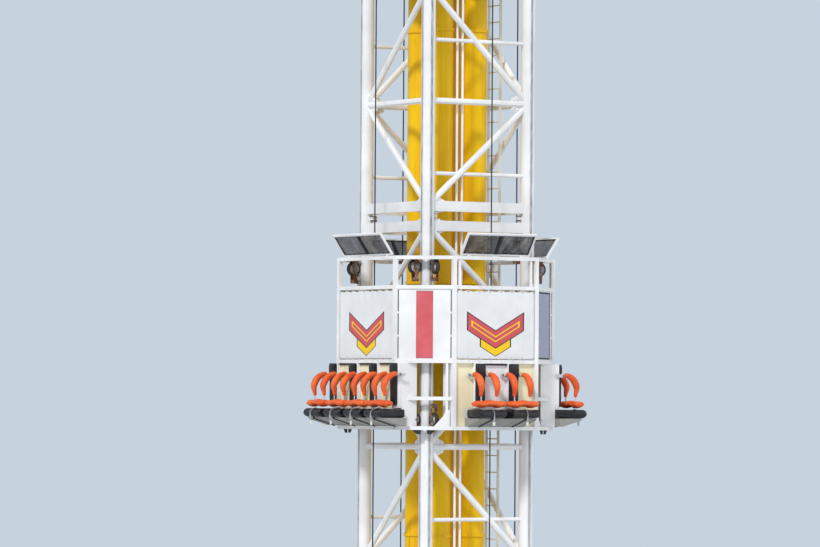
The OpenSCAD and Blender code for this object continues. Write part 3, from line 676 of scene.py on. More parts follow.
def shaped_block(cuts, shape):
    """A closed block from -1 to 1, cut into a grid and moved point by point by a shape."""
    bm = bmesh.new()
    bmesh.ops.create_cube(bm, size=2.0)
    bmesh.ops.subdivide_edges(bm, edges=bm.edges, cuts=cuts, use_grid_fill=True)
    for vert in bm.verts:
        vert.co = shape(*vert.co)
    bmesh.ops.recalc_face_normals(bm, faces=bm.faces)
    return bm


def ease(value, low, high):
    """A smooth step from nought at low to one at high."""
    share = min(1.0, max(0.0, (value - low) / (high - low)))
    return share * share * (3 - 2 * share)


def hump(value, centre, width):
    """A smooth hill of height one."""
    return math.exp(-((value - centre) / width) ** 2)


# ---------------------------------------------------------------- operators

class RIDE_OT_finishes(bpy.types.Operator):
    """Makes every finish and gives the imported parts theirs"""
    bl_idname = "ride.finishes"
    bl_label = "Finishes"

    def execute(self, context):
        colours = context.scene.ride_colours
        sizes = context.scene.ride_sizes
        white, grey, yellow, red = (list(part) for part in (
            colours.white, colours.grey, colours.yellow, colours.red))
        leg_paint(white)
        for name, paint, dirt, rust, coat in (
                ("lattice_paint", white, 0.24, 0.2, 0.12),
                ("base_paint", grey, 0.35, 0.25, 0.0),
                ("pipe_paint", white, 0.2, 0.12, 0.2),
                ("ladder_paint", shade(222, 218, 206), 0.45, 0.4, 0.0),
                ("carriage_paint", white, 0.22, 0.1, 0.2),
                ("panel_paint", shade(240, 241, 242), 0.2, 0.05, 0.25),
                ("cabinet_paint", shade(246, 246, 248), 0.2, 0.06, 0.2),
                ("board_cream", list(colours.cream), 0.15, 0.05, 0.0),
                ("tray_paint", shade(150, 149, 144), 0.5, 0.12, 0.0),
                ("hinge_steel", shade(206, 207, 208), 0.4, 0.25, 0.0),
                ("wheel_core", shade(206, 204, 198), 0.5, 0.5, 0.0)):
            weathered(name, paint, dirt, rust, Coat_Weight=coat)
        for name, steel, rough, grease in (
                ("cap_steel", shade(128, 128, 126), 0.5, 0.5),
                ("sheave_iron", shade(96, 96, 98), 0.5, 0.7),
                ("bolt_steel", shade(166, 168, 170), 0.4, 0.35)):
            bare_steel(name, steel, rough, grease)
        for name, plastic, rough in (("buckle_plastic", shade(214, 214, 210), 0.45),
                                     # painted_shade_sheet is the lavender-grey sheet that paints
                                     # the shade of a white corner panel
                                     ("painted_shade_sheet", shade(146, 148, 170), 0.3),
                                     ("gasket_rubber", shade(30, 30, 32), 0.7)):
            moulded(name, plastic, rough)
        cylinder_paint(yellow)
        rusty_paint("bracket_paint", shade(176, 170, 160))
        tyre_finish()
        rope_wire(sizes.strands, sizes.rope_lay)
        canopy_pane()
        banner_vinyl(list(colours.vinyl), red, yellow)
        strip_paint(red)
        seat_cover(list(colours.black))
        harness_foam(list(colours.orange))
        webbing()
        given = {
            "base_paint": "base_frame cylinder_seat head_frame",
            "leg_paint": "legs leg_flanges",
            "cylinder_paint": "cylinders",
            "cap_steel": "cylinder_caps",
            "sheave_iron": "head_sheaves base_sheaves",
            "pipe_paint": "service_pipes",
            "ladder_paint": "ladder",
            "lattice_paint": "lattice_front lattice_right lattice_back lattice_left",
            "carriage_paint": "frame_front frame_right frame_back frame_left "
                              "corner_frames canopy_frames",
            "panel_paint": "corner_panels",
            "tinted_pane": "canopy_panes",
            "bracket_paint": "rope_guides wheel_brackets_top wheel_brackets_bottom",
            "cabinet_paint": "cabinets",
            "tray_paint": "seat_trays",
            "hinge_steel": "hinge_brackets",
        }
        for finish, nodes in given.items():
            for node in nodes.split():
                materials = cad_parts[node].data.materials
                materials.clear()
                materials.append(FINISHES[finish])
        return {"FINISHED"}


class RIDE_OT_ropes(bpy.types.Operator):
    """Lays the four wire ropes over their sheaves and down to the cylinders"""
    bl_idname = "ride.ropes"
    bl_label = "Wire Ropes"

    def execute(self, context):
        bm = bmesh.new()
        yaw = math.radians(SHEAVE_YAW)
        out, up = Vector((math.cos(yaw), math.sin(yaw), 0)), Vector((0, 0, 1))
        path = [(CYL_AT, CYL_AT, HEAD_Z),
                *arc_points((*SHEAVE_AT, HEAD_AXIS), -out, up, SHEAVE_R, math.pi, 24),
                *arc_points((*SHEAVE_AT, BASE_AXIS), out, -up, SHEAVE_R, math.pi, 24),
                (CYL_AT, CYL_AT, CYL_LOW)]
        for side in SIDES:
            add_tube(bm, path, context.scene.ride_sizes.rope_d / 2, 12, on_side(side))
        make_piece("wire_ropes", bm, "rope_wire", ["ropes"], "tower")
        return {"FINISHED"}


def wheel_unit():
    """One guide wheel round its z axis: a cast tread on a spoked steel core with bolts."""
    bm = bmesh.new()
    add_lathe(bm, mirrored([(0.105, -0.04), (0.138, -0.04), (0.146, -0.037), (0.15, -0.03),
                            (0.15, -0.004)], (0.147, 0)), 40)
    in_finish(bm, 0)
    add_lathe(bm, mirrored([(0.0204, -0.045), (0.046, -0.045), (0.048, -0.016), (0.056, -0.012),
                            (0.09, -0.012), (0.096, -0.02), (0.097, -0.037),
                            (0.1055, -0.037)]), 40)
    for i in range(8):
        turn = math.tau * i / 8
        x, y = WHEEL_BOLT_R * math.cos(turn), WHEEL_BOLT_R * math.sin(turn)
        for way in WAYS:
            add_bolt(bm, (x, y, 0.012 * way), (0, 0, way), 0.014)
    in_finish(bm, 1)
    return bm


class RIDE_OT_wheels(bpy.types.Operator):
    """Makes the sixteen guide wheels, two to a body, their guards and the nuts of their axles"""
    bl_idname = "ride.wheels"
    bl_label = "Guide Wheels"

    def execute(self, context):
        unit, nuts, guards = wheel_unit(), bmesh.new(), bmesh.new()
        for name, height in (("top", WHEELS_TOP), ("low", WHEELS_LOW)):
            for side in SIDES:
                bm, node = bmesh.new(), f"wheels_{name}_{side}"
                for end in WAYS:
                    spot = on_carriage(side) @ shift(WHEEL_X, end * LEG_AT, height)
                    stamp(bm, unit, spot @ turned(90, "X"), keep=True)
                    for way in WAYS:
                        part = bmesh.new()
                        add_bolt(part, (0, way * NUT_OUT, 0), (0, way, 0), 0.05)
                        stamp(nuts, part, spot)
                make_piece(f"guide_{node}", bm, "guide_tyre wheel_core", [node], node)
        for side in SIDES:
            place = on_carriage(side)
            for end in WAYS:
                for height, drop in ((WHEELS_TOP, -0.30), (WHEELS_LOW, 0.33)):
                    tip = height + drop
                    for way in WAYS:
                        y = end * LEG_AT + way * GUARD_OUT
                        add_prism(guards, [
                            (WHEEL_X - 0.045, height), (WHEEL_X + 0.045, height),
                            (WHEEL_X + 0.03, tip), (WHEEL_X - 0.06, tip)],
                            *sorted((y, y + way * GUARD_T)), place)
                    add_box(guards, (WHEEL_X - 0.058, end * LEG_AT - 0.062, height + drop * 0.74),
                            (WHEEL_X + 0.026, end * LEG_AT + 0.062, tip), place, 0.006)
        make_piece("wheel_guards", guards, "bracket_paint")
        make_piece("axle_nuts", nuts, "bolt_steel")
        unit.free()
        return {"FINISHED"}


def pan_point(x, y, z):
    """The form of a seat pan: two thigh hollows, raised edges, a middle ridge and a round lip."""
    out, side = (x + 1) / 2, abs(y)
    nose = max(0.0, out - 0.75) / 0.25
    turn = nose * math.radians(74)
    half = 0.327 * (1 - 0.05 * nose ** 2 - 0.24 * ease(out, 0.5, 0.0))
    top = 0.386 + 0.016 * ease(side, 0.70, 0.92) - 0.024 * hump(side, 0.45, 0.22)
    top += 0.014 * hump(side, 0, 0.16) * ease(out, 0.4, 0.75) - 0.01 * ease(out, 0.3, 0.0)
    top -= 0.010 * hump(out, 0.36, 0.03) * ease(side, 0.95, 0.8)
    low = 0.209 + 0.012 * ease(side, 0.75, 1.0)
    middle, thick = (top + low) / 2, (top - low) / 2 * math.cos(turn)
    middle -= 0.012 * nose ** 2
    reach = (PAN_REACH - 0.086) * min(1.0, out / 0.75) + 0.084 * math.sin(turn)
    edge = ease(side, 0.82, 1.0)
    return Vector((FACE_X + 0.0026 + reach, y * half * (1 - 0.07 * abs(z) ** 3 * edge),
                   middle + thick * z * (1 - 0.12 * edge)))


def back_point(x, y, z):
    """The form of a seat back: a flat padded board with two seams and a head pad at its top."""
    deep, up = (x + 1) / 2, (z + 1) / 2
    low, high = BACK_LOW + 0.003, CAB_TOP - 0.003
    height = low + (high - low) * up
    pad = ease(height, high - 0.215, high - 0.165)
    front = BACK_T - 0.006 + 0.028 * pad - 0.014 * abs(y) ** 4
    front -= 0.010 * (hump(height, low + 0.27, 0.014) + hump(height, high - 0.235, 0.012))
    front -= 0.006 * hump(y, 0, 0.3) * (1 - pad)
    front *= 1 - 0.22 * ease(up, 0.955, 1.0) - 0.22 * ease(up, 0.045, 0.0)
    wide = COLUMN_HALF - 0.001
    return Vector((FACE_X + COLUMN_T + deep * front, y * wide * (1 - 0.05 * deep ** 3), height))


class RIDE_OT_seats(bpy.types.Operator):
    """Makes the moulded seat pans and the seat backs with their seams"""
    bl_idname = "ride.seats"
    bl_label = "Seats"

    def execute(self, context):
        blocks = {"seat_pans": shaped_block(11, pan_point),
                  "seat_backs": shaped_block(8, back_point)}
        for side in SIDES:
            for node, block in blocks.items():
                bm = bmesh.new()
                for spot in seat_spots(side):
                    stamp(bm, block, spot, keep=True)
                obj = make_piece(f"{node}_{side}", bm, "seat_cover",
                                 [node] if side == "front" else [], sharp=180)
                modifier = obj.modifiers.new("Soft", "SUBSURF")
                modifier.levels = modifier.render_levels = 1
        for block in blocks.values():
            block.free()
        return {"FINISHED"}


def add_tray(bm, half, place):
    """The grey tray under a row of seats: a folded sheet that slopes up, with ribs and rims."""
    x, low, high, reach = FACE_X + 0.001, CAB_LOW + 0.001, PAN_Z - PAN_T - 0.001, TRAY_REACH
    add_prism(bm, [(x, low), (x, high), (x + reach, high), (x + reach - 0.04, high - 0.034),
                   (x + 0.06, low)], -half, half, place)
    count = round(half * 2 / RIB_GAP)
    for i in range(count + 1):
        y = -half + 0.008 + (2 * half - 0.016) * i / count
        add_prism(bm, [(x + 0.06, low - 0.006), (x + reach - 0.036, high - 0.042),
                       (x + reach + 0.006, high - 0.004), (x + reach - 0.04, high - 0.02),
                       (x + 0.08, low + 0.02)], y - RIB_HALF, y + RIB_HALF, place)


class RIDE_OT_boards(bpy.types.Operator):
    """Fits the columns behind the backs, the cream boards, the dark strips of painted shadow under
    the ring, the trays and their struts
    """
    bl_idname = "ride.boards"
    bl_label = "Columns, Boards And Struts"

    def execute(self, context):
        columns, boards, struts, trays, shadow_strips = (bmesh.new() for _ in range(5))
        face = FACE_X + 0.0006
        for side in SIDES:
            place, seats = on_carriage(side), seats_of(side)
            for y in seats:
                add_box(columns, (face, y - COLUMN_HALF, PAN_Z + 0.002),
                        (FACE_X + COLUMN_T, y + COLUMN_HALF, CAB_TOP - 0.0005), place, 0.004)
                add_rod(struts, (CAR_R + RING / 2, y, 0.028), (CAR_R + 0.55, y, 0.178), 0.011, 10,
                        place)
                add_box(struts, (CAR_R + 0.53, y - 0.016, 0.172),
                        (CAR_R + 0.566, y + 0.016, 0.214), place, 0.003, 1)
            edge, end = COLUMN_HALF + GAP, SHORT_HALF - POST / 2 - GAP
            for first, last in zip(seats, seats[1:]):
                # A dark rubber strip at the top of the cabinet between each two seats paints the
                # shadow under the ring bar.
                add_box(shadow_strips, (FACE_X + 0.0056, first + edge, CAB_TOP - 0.036),
                        (FACE_X + 0.03, last - edge, CAB_TOP - GAP), place, 0.003, 1)
                if not short_side(side):
                    add_box(boards, (face, first + edge, PAN_Z + GAP),
                            (face + BOARD_T, last - edge, CAB_TOP - GAP), place)
            tray = seats[-1] + TRAY_OVER
            add_tray(trays, tray, place)
            for way in WAYS if short_side(side) else ():
                for near, low, high in ((seats[-1] + edge, PAN_Z, CAB_TOP - GAP),
                                        (tray + GAP, CAB_LOW, PAN_Z + GAP)):
                    add_box(boards, (face, way * near, low + GAP),
                            (face + BOARD_T, way * end, high), place)
        make_piece("seat_columns", columns, "cabinet_paint")
        make_piece("cream_boards", boards, "board_cream")
        make_piece("board_shadow_strips", shadow_strips, "gasket_rubber")
        make_piece("seat_trays_sheet", trays, "tray_paint", ["seat_trays"])
        make_piece("tray_struts", struts, "gasket_rubber")
        return {"FINISHED"}


def arm_form(share):
    """Half the width and half the thickness of the foam at a share of its length. It is
    broad over the shoulder and slim at both ends, like a crescent."""
    end = min(share / 0.05, (1 - share) / 0.035)
    cap = math.sqrt(max(0.05, 1 - (1 - min(1.0, end)) ** 2))
    body, tail = ease(share, 0.0, 0.42), ease(share, 0.55, 1.0)
    return (cap * (0.050 + 0.024 * body - 0.038 * tail),
            cap * (0.048 + 0.022 * body - 0.036 * tail))


def arm_path():
    """The line of a harness arm's foam, from behind its root to its lower end. It stays at
    the outer side of the arm's room over the shoulder and swings in at the lower end."""
    low = HINGE_Z - ARM_BEND
    corner = Vector((HINGE_X + ARM_RUN, 0, low))
    line = [(Vector((HINGE_X + 0.052 + 0.012 * i, 0, HINGE_Z)), Vector((0, 0, 1)))
            for i in range(4)]
    line += [(point, (point - corner).normalized()) for point in arc_points(
        corner, (0, 0, 1), (1, 0, 0), ARM_BEND, math.pi / 2, 22)]
    line += [(Vector((ARM_X, 0, low + (FOAM_LOW - low) * i / 8)), Vector((1, 0, 0)))
             for i in range(1, 9)]
    path = []
    for i, (point, outward) in enumerate(line):
        share = i / (len(line) - 1)
        spare = FOAM_R - max(0.040, arm_form(min(0.9, max(0.1, share)))[1])
        path.append(point + outward * spare * (1 - 2.3 * ease(share, 0.62, 1.0)))
    return path


def arm_swell(i, share):
    """The scales of a ring of the foam, pinched at two seams."""
    pinch = 1 - 0.03 * sum(hump(share, seam, 0.012) for seam in FOAM_SEAMS)
    return [size * pinch / FOAM_R for size in arm_form(share)]


def lap_form(across):
    """The upper, lower, inner and outer reach of a lap pad from its middle line, from one
    end at -1 to the other at 1: a raised middle, two thigh bulges and rounded ends."""
    side = abs(across)
    cap = math.sqrt(max(0.09, 1 - ease(side, 0.84, 1.0) ** 2 * 0.91))
    top = 0.058 + 0.024 * hump(across, 0, 0.32) + 0.008 * hump(side, 0.66, 0.14)
    low = 0.055 + 0.027 * hump(side, 0.50, 0.24) - 0.008 * hump(side, 0.22, 0.07)
    inner = LAP_DEPTH / 2 - 0.002 - 0.022 * hump(across, 0, 0.25)
    outer = LAP_DEPTH / 2 - 0.002 - 0.040 * ease(side, 0.5, 1.0)
    return top * cap, low * cap, inner * cap, outer * cap


def add_lap_pad(bm):
    """One lap pad across the harness: its rings follow the form above."""
    steps, path, scales = 44, [], []
    for i in range(steps + 1):
        across = -math.cos(math.pi * i / steps)
        top, low, inner, outer = lap_form(across)
        path.append((LAP_X + (outer - inner) / 2, across * (LAP_W / 2 - 0.002),
                     LAP_Z + (top - low) / 2))
        scales.append(((inner + outer) / 2, (top + low) / 2))
    add_tube(bm, path, 1.0, 26, swell=lambda i, share: scales[i])


class RIDE_OT_harnesses(bpy.types.Operator):
    """Makes the twelve shoulder harnesses: steel arms and hubs, foam sleeves and lap pads"""
    bl_idname = "ride.harnesses"
    bl_label = "Harnesses"

    def execute(self, context):
        foam, steel = bmesh.new(), bmesh.new()
        for way in WAYS:
            spot = shift(0, way * ARM_HALF, 0)
            add_tube(foam, arm_path(), FOAM_R, 22, spot, arm_swell)
            add_lathe(steel, mirrored([(0.0184, -0.045), (0.034, -0.045), (0.036, -0.042)]), 28,
                      spot @ shift(HINGE_X, 0, HINGE_Z) @ turned(90, "X"))
            add_rod(steel, (HINGE_X + 0.032, 0, HINGE_Z), (HINGE_X + 0.1, 0, HINGE_Z), 0.02, 20,
                    spot)
            add_rod(steel, (ARM_X - 0.022, 0, FOAM_LOW + 0.03), (ARM_X - 0.012, 0, LAP_Z + 0.01),
                    0.0125, 16, spot)
            add_lathe(steel, [(0.012, 0.045), (0.023, 0.047), (0.025, 0.052), (0.025, 0.066),
                              (0.012, 0.069)], 20, spot @ shift(ARM_X - 0.0125, 0, LAP_Z))
        add_lap_pad(foam)
        for side in SIDES:
            for n, spot in enumerate(seat_spots(side), 1):
                node = f"harness_{side}_{n}"
                for name, unit, finish, replaced in (("foam", foam, "harness_foam", [node]),
                                                     ("steel", steel, "hinge_steel", [])):
                    bm = bmesh.new()
                    stamp(bm, unit, spot, keep=True)
                    obj = make_piece(f"harness_{name}_{side}_{n}", bm, finish, replaced,
                                     node, 60)
        foam.free()
        steel.free()
        return {"FINISHED"}


def eyelet_spots(side, gap):
    """The places of a banner's eyelets along its width."""
    width = 2 * (half_of(side) - POST / 2 - 0.03)
    count = max(2, round(width / gap))
    return [-width / 2 + width * i / count for i in range(count + 1)]


class RIDE_OT_banners(bpy.types.Operator):
    """Hangs the four vinyl banners from their bars by eyelets and short laces"""
    bl_idname = "ride.banners"
    bl_label = "Banners"

    def execute(self, context):
        sizes = context.scene.ride_sizes
        laces, rings = bmesh.new(), bmesh.new()
        tall, lace_x = BANNER_HIGH - BANNER_LOW, CAR_R + RING / 2 + 0.004
        for number, side in enumerate(SIDES):
            place = on_carriage(side)
            half = half_of(side) - POST / 2 - 0.012
            spots = eyelet_spots(side, sizes.eyelet_gap)
            bm = bmesh.new()
            uv = bm.loops.layers.uv.new("UVMap")
            bmesh.ops.create_grid(bm, x_segments=120, y_segments=80, size=1.0)
            flat = {vert: vert.co.xy.copy() for vert in bm.verts}
            for vert, spot in flat.items():
                y, up = spot.x * half, (spot.y + 1) / 2
                nearest = min(abs(y - eyelet) for eyelet in spots)
                sag = ease(nearest, 0, sizes.eyelet_gap / 2)
                z = BANNER_LOW + tall * up - 0.020 * sag * ease(up, 0.8, 1.0)
                z += 0.006 * sag * ease(up, 0.1, 0.0)
                seed = Vector((y * 1.3, up * 1.1, 7.3 * number))
                fold = noise.noise(seed) * 1.1 + 0.45 * noise.noise(seed * 3.1)
                drag = math.cos(math.tau * y / sizes.eyelet_gap) * ease(up, 0.72, 1.0)
                edge = ease(1 - abs(spot.x), 0.0, 0.12) * ease(min(up, 1 - up), 0.0, 0.1)
                x = BANNER_X + sizes.banner_wave * (0.25 * drag + fold * (0.15 + 0.85 * edge))
                vert.co = (x, y, z)
            for face in bm.faces:
                for loop in face.loops:
                    spot = flat[loop.vert]
                    loop[uv].uv = (spot.x * half, spot.y * tall / 2)
            bmesh.ops.transform(bm, matrix=place, verts=bm.verts)
            outward = place.to_3x3() @ Vector((1, 0, 0))
            if sum(face.normal.dot(outward) for face in bm.faces) < 0:
                bmesh.ops.reverse_faces(bm, faces=bm.faces)
            obj = make_piece(f"banner_{side}", bm, "banner_vinyl",
                             ["banners"] if side == "front" else [], sharp=180)
            wall = obj.modifiers.new("Vinyl", "SOLIDIFY")
            wall.thickness, wall.offset = VINYL_T, 0.0
            for y in spots:
                for edge, bar in ((BANNER_HIGH - HEM, UPPER_BAR), (BANNER_LOW + HEM, MID_BAR)):
                    add_lathe(rings, mirrored([(0.007, -0.002), (0.013, -0.003)], (0.014, 0)), 14,
                              place @ shift(BANNER_X, y, edge) @ turned(90, "Y"))
                    top = bar + (RING / 2 + 0.003) * (1 if bar < edge else -1)
                    knot = BANNER_X + 0.006
                    add_tube(laces, [(knot, y, edge), (knot + 0.004, y + 0.003, (edge + top) / 2),
                                     (lace_x, y + 0.004, top), (lace_x, y + 0.006, 2 * bar - top)],
                             LACE_R, 6, place)
        make_piece("banner_laces", laces, "buckle_plastic")
        make_piece("banner_eyelets", rings, "bolt_steel")
        return {"FINISHED"}


def corner_line(side):
    """The frame of the slanting side after this one, with x along it and y inwards."""
    names = list(SIDES)
    following = names[(names.index(side) + 1) % 4]
    start = Vector((CAR_R, half_of(side), 0))
    run = Vector((half_of(following), CAR_R, 0)) - start
    turn = Matrix.Rotation(math.atan2(run.y, run.x), 4, "Z")
    return on_carriage(side) @ shift(*start) @ turn, run.length


def add_strip(bm, place):
    """A red strip, mapped so that the border of its finish runs round its edges."""
    part = bmesh.new()
    uv = part.loops.layers.uv.new("UVMap")
    add_box(part, (-STRIP_HALF, -STRIP_T, -STRIP_TALL), (STRIP_HALF, STRIP_T, STRIP_TALL),
            bevel=0.001, steps=1)
    for face in part.faces:
        for loop in face.loops:
            loop[uv].uv = (loop.vert.co.x * 0.79, loop.vert.co.z * 0.99)
    stamp(bm, part, place)


class RIDE_OT_corners(bpy.types.Operator):
    """Fits the strips, the screen sheets of painted shade, the seal strips, gussets, posts and the
    dark guard shoes, partly painted shade, of the corners
    """
    bl_idname = "ride.corners"
    bl_label = "Corner Pieces"

    def execute(self, context):
        strips, shade_screens, seals_and_shade_shoes, screws, plates = (bmesh.new() for _ in range(5))
        middle_z = (MID_BAR + UPPER_BAR) / 2 - 0.01
        low, high = MID_BAR + RING / 2 + 0.006, UPPER_BAR - RING / 2 - 0.006
        for side in SIDES:
            line, run = corner_line(side)
            middle = run / 2
            if short_side(side):
                first, last = 0.115, run - 0.24
                # A lavender-grey sheet over the corner panel paints that panel in shade, with dark
                # seal strips round it.
                add_box(shade_screens, (first, -0.011, low + 0.05), (last, SEAL_IN, high - 0.05),
                        line, 0.002, 1)
                for near, far in ((first - 0.06, first), (last, last + 0.06)):
                    add_box(seals_and_shade_shoes, (near, SEAL_OUT, low + 0.02), (far, SEAL_IN, high - 0.02), line)
                for z in (low + 0.02, high - 0.05):
                    add_box(seals_and_shade_shoes, (first, SEAL_OUT, z), (last, SEAL_IN, z + 0.03), line)
                heads = (first - 0.03, last + 0.03)
            else:
                add_strip(strips, line @ shift(middle, -0.0083, middle_z))
                heads = (middle - 0.16, middle + 0.16)
            for x in heads:
                for i in range(5):
                    head = bmesh.new()
                    add_lathe(head, [(0, 0), (0.009, 0), (0.008, 0.004), (0, 0.005)], 10)
                    spot = shift(x, -0.0113, middle_z + SCREW_GAP * (i - 2))
                    stamp(screws, head, line @ spot @ turned(90, "X"))
            edges = ((0.058, 0.026), (run - 0.058, 0.018))
            for x, wide in edges[short_side(side):]:
                for i in range(3):
                    first = low + (high - low) * i / 3
                    add_box(seals_and_shade_shoes, (x - wide / 2, SEAL_OUT, first + 0.02),
                            (x + wide / 2, SEAL_IN, first + (high - low) / 3 - 0.02), line)
            near, end = (1, 0.0) if short_side(side) else (-1, run)
            add_prism(plates, [(0.075, RIM), (0.40, RIM), (0.075, 0.40)], -0.006, 0.006,
                      line @ shift(end, 0, 0) @ Matrix.Diagonal((near, 1, 1, 1)))
            # Two dark guard shoes under the ring at the middle of each corner; their dark rubber
            # also paints the shade that falls below the ring there.
            for way in WAYS:
                shade_shoe = [(middle + way * x, z) for x, z in (
                    (0.06, -RIM), (0.25, -RIM), (0.15, -SHADE_SHOE_DROP), (0.07, -SHADE_SHOE_DROP))]
                add_prism(seals_and_shade_shoes, shade_shoe, -0.012, 0.012, line)
        for side in SIDES:
            edge = half_of(side) - POST / 2 - 0.0065
            for way in WAYS:
                add_box(seals_and_shade_shoes, (CAR_R - 0.03, way * (edge - 0.005), low),
                        (CAR_R - 0.014, way * (edge + 0.005), high), on_carriage(side))
                if short_side(side):
                    y = way * (SHORT_HALF - 0.13)
                    add_box(plates, (CAR_R - 0.025, y - 0.025, UPPER_BAR + RIM),
                            (CAR_R + 0.025, y + 0.025, TOP_RING - RIM), on_carriage(side),
                            0.004, 1)
        make_piece("corner_strips", strips, "strip_red")
        make_piece("corner_shade_screens", shade_screens, "painted_shade_sheet")
        make_piece("panel_seals_and_shade_shoes", seals_and_shade_shoes, "gasket_rubber")
        make_piece("corner_plates", plates, "carriage_paint")
        make_piece("panel_screws", screws, "bolt_steel")
        return {"FINISHED"}


class RIDE_OT_canopies(bpy.types.Operator):
    """Puts rubber gaskets and clamps round the tinted panes of the canopies"""
    bl_idname = "ride.canopies"
    bl_label = "Canopy Trim"

    def execute(self, context):
        gaskets, clamps = bmesh.new(), bmesh.new()
        lean = Matrix.Rotation(math.atan2(CANOPY_REACH, CANOPY_RISE), 4, "Y")
        t, thick, wide = CANOPY_TUBE / 2, 0.010, 0.016
        for side in SIDES:
            place = on_carriage(side) @ shift(*CANOPY_FOOT) @ lean
            half = half_of(side) - CANOPY_INSET
            for x in (t + 0.0006, -t - 0.0046):
                add_box(gaskets, (x, -t - 0.012, t + 0.001),
                        (x + 0.004, t + 0.012, CANOPY_LEN - t - 0.001), place)
            for way in WAYS:
                inner, outer = sorted((way * t, way * (half - 2 * t)))
                for x in (0.0045, -0.0145):
                    for z in (t, CANOPY_LEN - t - wide):
                        add_box(gaskets, (x, inner, z), (x + thick, outer, z + wide), place)
                    for y in (inner, outer - wide):
                        add_box(gaskets, (x, y, t + wide),
                                (x + thick, y + wide, CANOPY_LEN - t - wide), place)
                for i in range(4):
                    y = inner + (outer - inner) * (i + 0.5) / 4
                    for z in (t + 0.004, CANOPY_LEN - t - 0.03):
                        add_box(clamps, (0.0148, y - 0.02, z), (0.021, y + 0.02, z + 0.026),
                                place, 0.002, 1)
                        add_bolt(clamps, place @ Vector((0.021, y, z + 0.013)),
                                 place.to_3x3() @ Vector((1, 0, 0)), 0.012, False)
        make_piece("pane_gaskets", gaskets, "gasket_rubber")
        make_piece("pane_clamps", clamps, "bolt_steel")
        return {"FINISHED"}


class RIDE_OT_belts(bpy.types.Operator):
    """Makes the seat belts that hang over the pans' lips, with their buckles"""
    bl_idname = "ride.belts"
    bl_label = "Belts"

    def execute(self, context):
        webs, buckles = bmesh.new(), bmesh.new()
        nose = FACE_X + PAN_REACH
        path = [(nose + x, 0, z) for x, z in (
            (-0.145, 0.392), (-0.11, 0.388), (-0.07, 0.376), (-0.035, 0.355), (-0.012, 0.325),
            (0, 0.285), (0.002, 0.24), (-0.002, 0.19), (-0.008, 0.14))]
        for side in SIDES:
            for spot in seat_spots(side):
                add_tube(webs, path, 0.024, 12, spot, lambda i, share: (0.06, 1.0))
                add_box(buckles, (nose - 0.022, -0.029, 0.055), (nose - 0.002, 0.029, 0.137),
                        spot, 0.006)
                add_box(buckles, (nose - 0.0015, -0.012, 0.075), (nose + 0.003, 0.012, 0.098),
                        spot, 0.002, 1)
        make_piece("belt_webs", webs, "belt_web")
        make_piece("belt_buckles", buckles, "buckle_plastic")
        return {"FINISHED"}


class RIDE_OT_bolts(bpy.types.Operator):
    """Puts the bolts in the gussets, the section joint, the feet and the hinge brackets"""
    bl_idname = "ride.bolts"
    bl_label = "Bolts"

    def execute(self, context):
        size = context.scene.ride_sizes.bolt
        tower, gussets, car = bmesh.new(), bmesh.new(), bmesh.new()
        for side in SIDES:
            place, turn = on_side(side), on_side(side).to_3x3()
            for i in range(6):
                start = 1 if (i % 2 == 0) != short_side(side) else -1
                low = LEVELS[i] + (JOINT_BEAM if i == 4 else 0)
                high = LEVELS[i + 1] - (JOINT_BEAM if i == 3 else 0)
                for end, z, up in ((start, low, -1), (-start, high, 1)):
                    for y, lift in GUSSET_HOLES:
                        if i == 0 and up < 0 or not 0 < z + up * lift < TOWER_TOP:
                            continue
                        for way in WAYS:
                            spot = Vector((LEG_AT + way * 0.008, end * (LEG_AT - y),
                                           z + up * lift))
                            add_bolt(gussets, place @ spot, turn @ Vector((way, 0, 0)), size)
            for x, y in JOINT_HOLES:
                for way in WAYS:
                    spot = Vector((LEG_AT + x, LEG_AT + y, JOINT_Z + way * JOINT_T))
                    add_bolt(tower, place @ spot, (0, 0, way), 0.044)
            for x in (-FOOT_HOLE, FOOT_HOLE):
                for y in (-FOOT_HOLE, FOOT_HOLE):
                    spot = place @ Vector((LEG_AT + x, LEG_AT + y, FOOT_TOP))
                    add_bolt(tower, spot, (0, 0, 1), 0.055)
                    add_rod(tower, spot, spot + Vector((0, 0, 0.085)), 0.016, 10)
            place = on_carriage(side)
            for y in seats_of(side):
                for way in WAYS:
                    for outer in WAYS:
                        spot = Vector((HINGE_X, y + way * ARM_HALF + PIN_OUT * outer, HINGE_Z))
                        add_bolt(car, place @ spot, turn @ Vector((0, outer, 0)), 0.03)
        make_piece("tower_bolts", tower, "bolt_steel", body="tower")
        make_piece("gusset_bolts", gussets, "lattice_paint", body="tower")
        make_piece("hinge_bolts", car, "bolt_steel")
        return {"FINISHED"}


# ---------------------------------------------------------------- stage

def camera_only(tree, shown, lit):
    """Mixes a shader that the camera, glass and gloss see with one that lights the ride."""
    path = tree.nodes.new("ShaderNodeLightPath")
    seen = path.outputs["Is Camera Ray"]
    for ray in ("Is Glossy Ray", "Is Transmission Ray"):
        add = tree.nodes.new("ShaderNodeMath")
        add.operation = "MAXIMUM"
        tree.links.new(seen, add.inputs[0])
        tree.links.new(path.outputs[ray], add.inputs[1])
        seen = add.outputs[0]
    mix = tree.nodes.new("ShaderNodeMixShader")
    for source, socket in zip((seen, lit, shown), mix.inputs):
        tree.links.new(source, socket)
    return mix.outputs[0]


def toward(azimuth, height=0.0):
    """The direction from the ride to a place that stands so many degrees round and up."""
    a, e = math.radians(azimuth), math.radians(height)
    return Vector((math.sin(a) * math.cos(e), -math.cos(a) * math.cos(e), math.sin(e)))


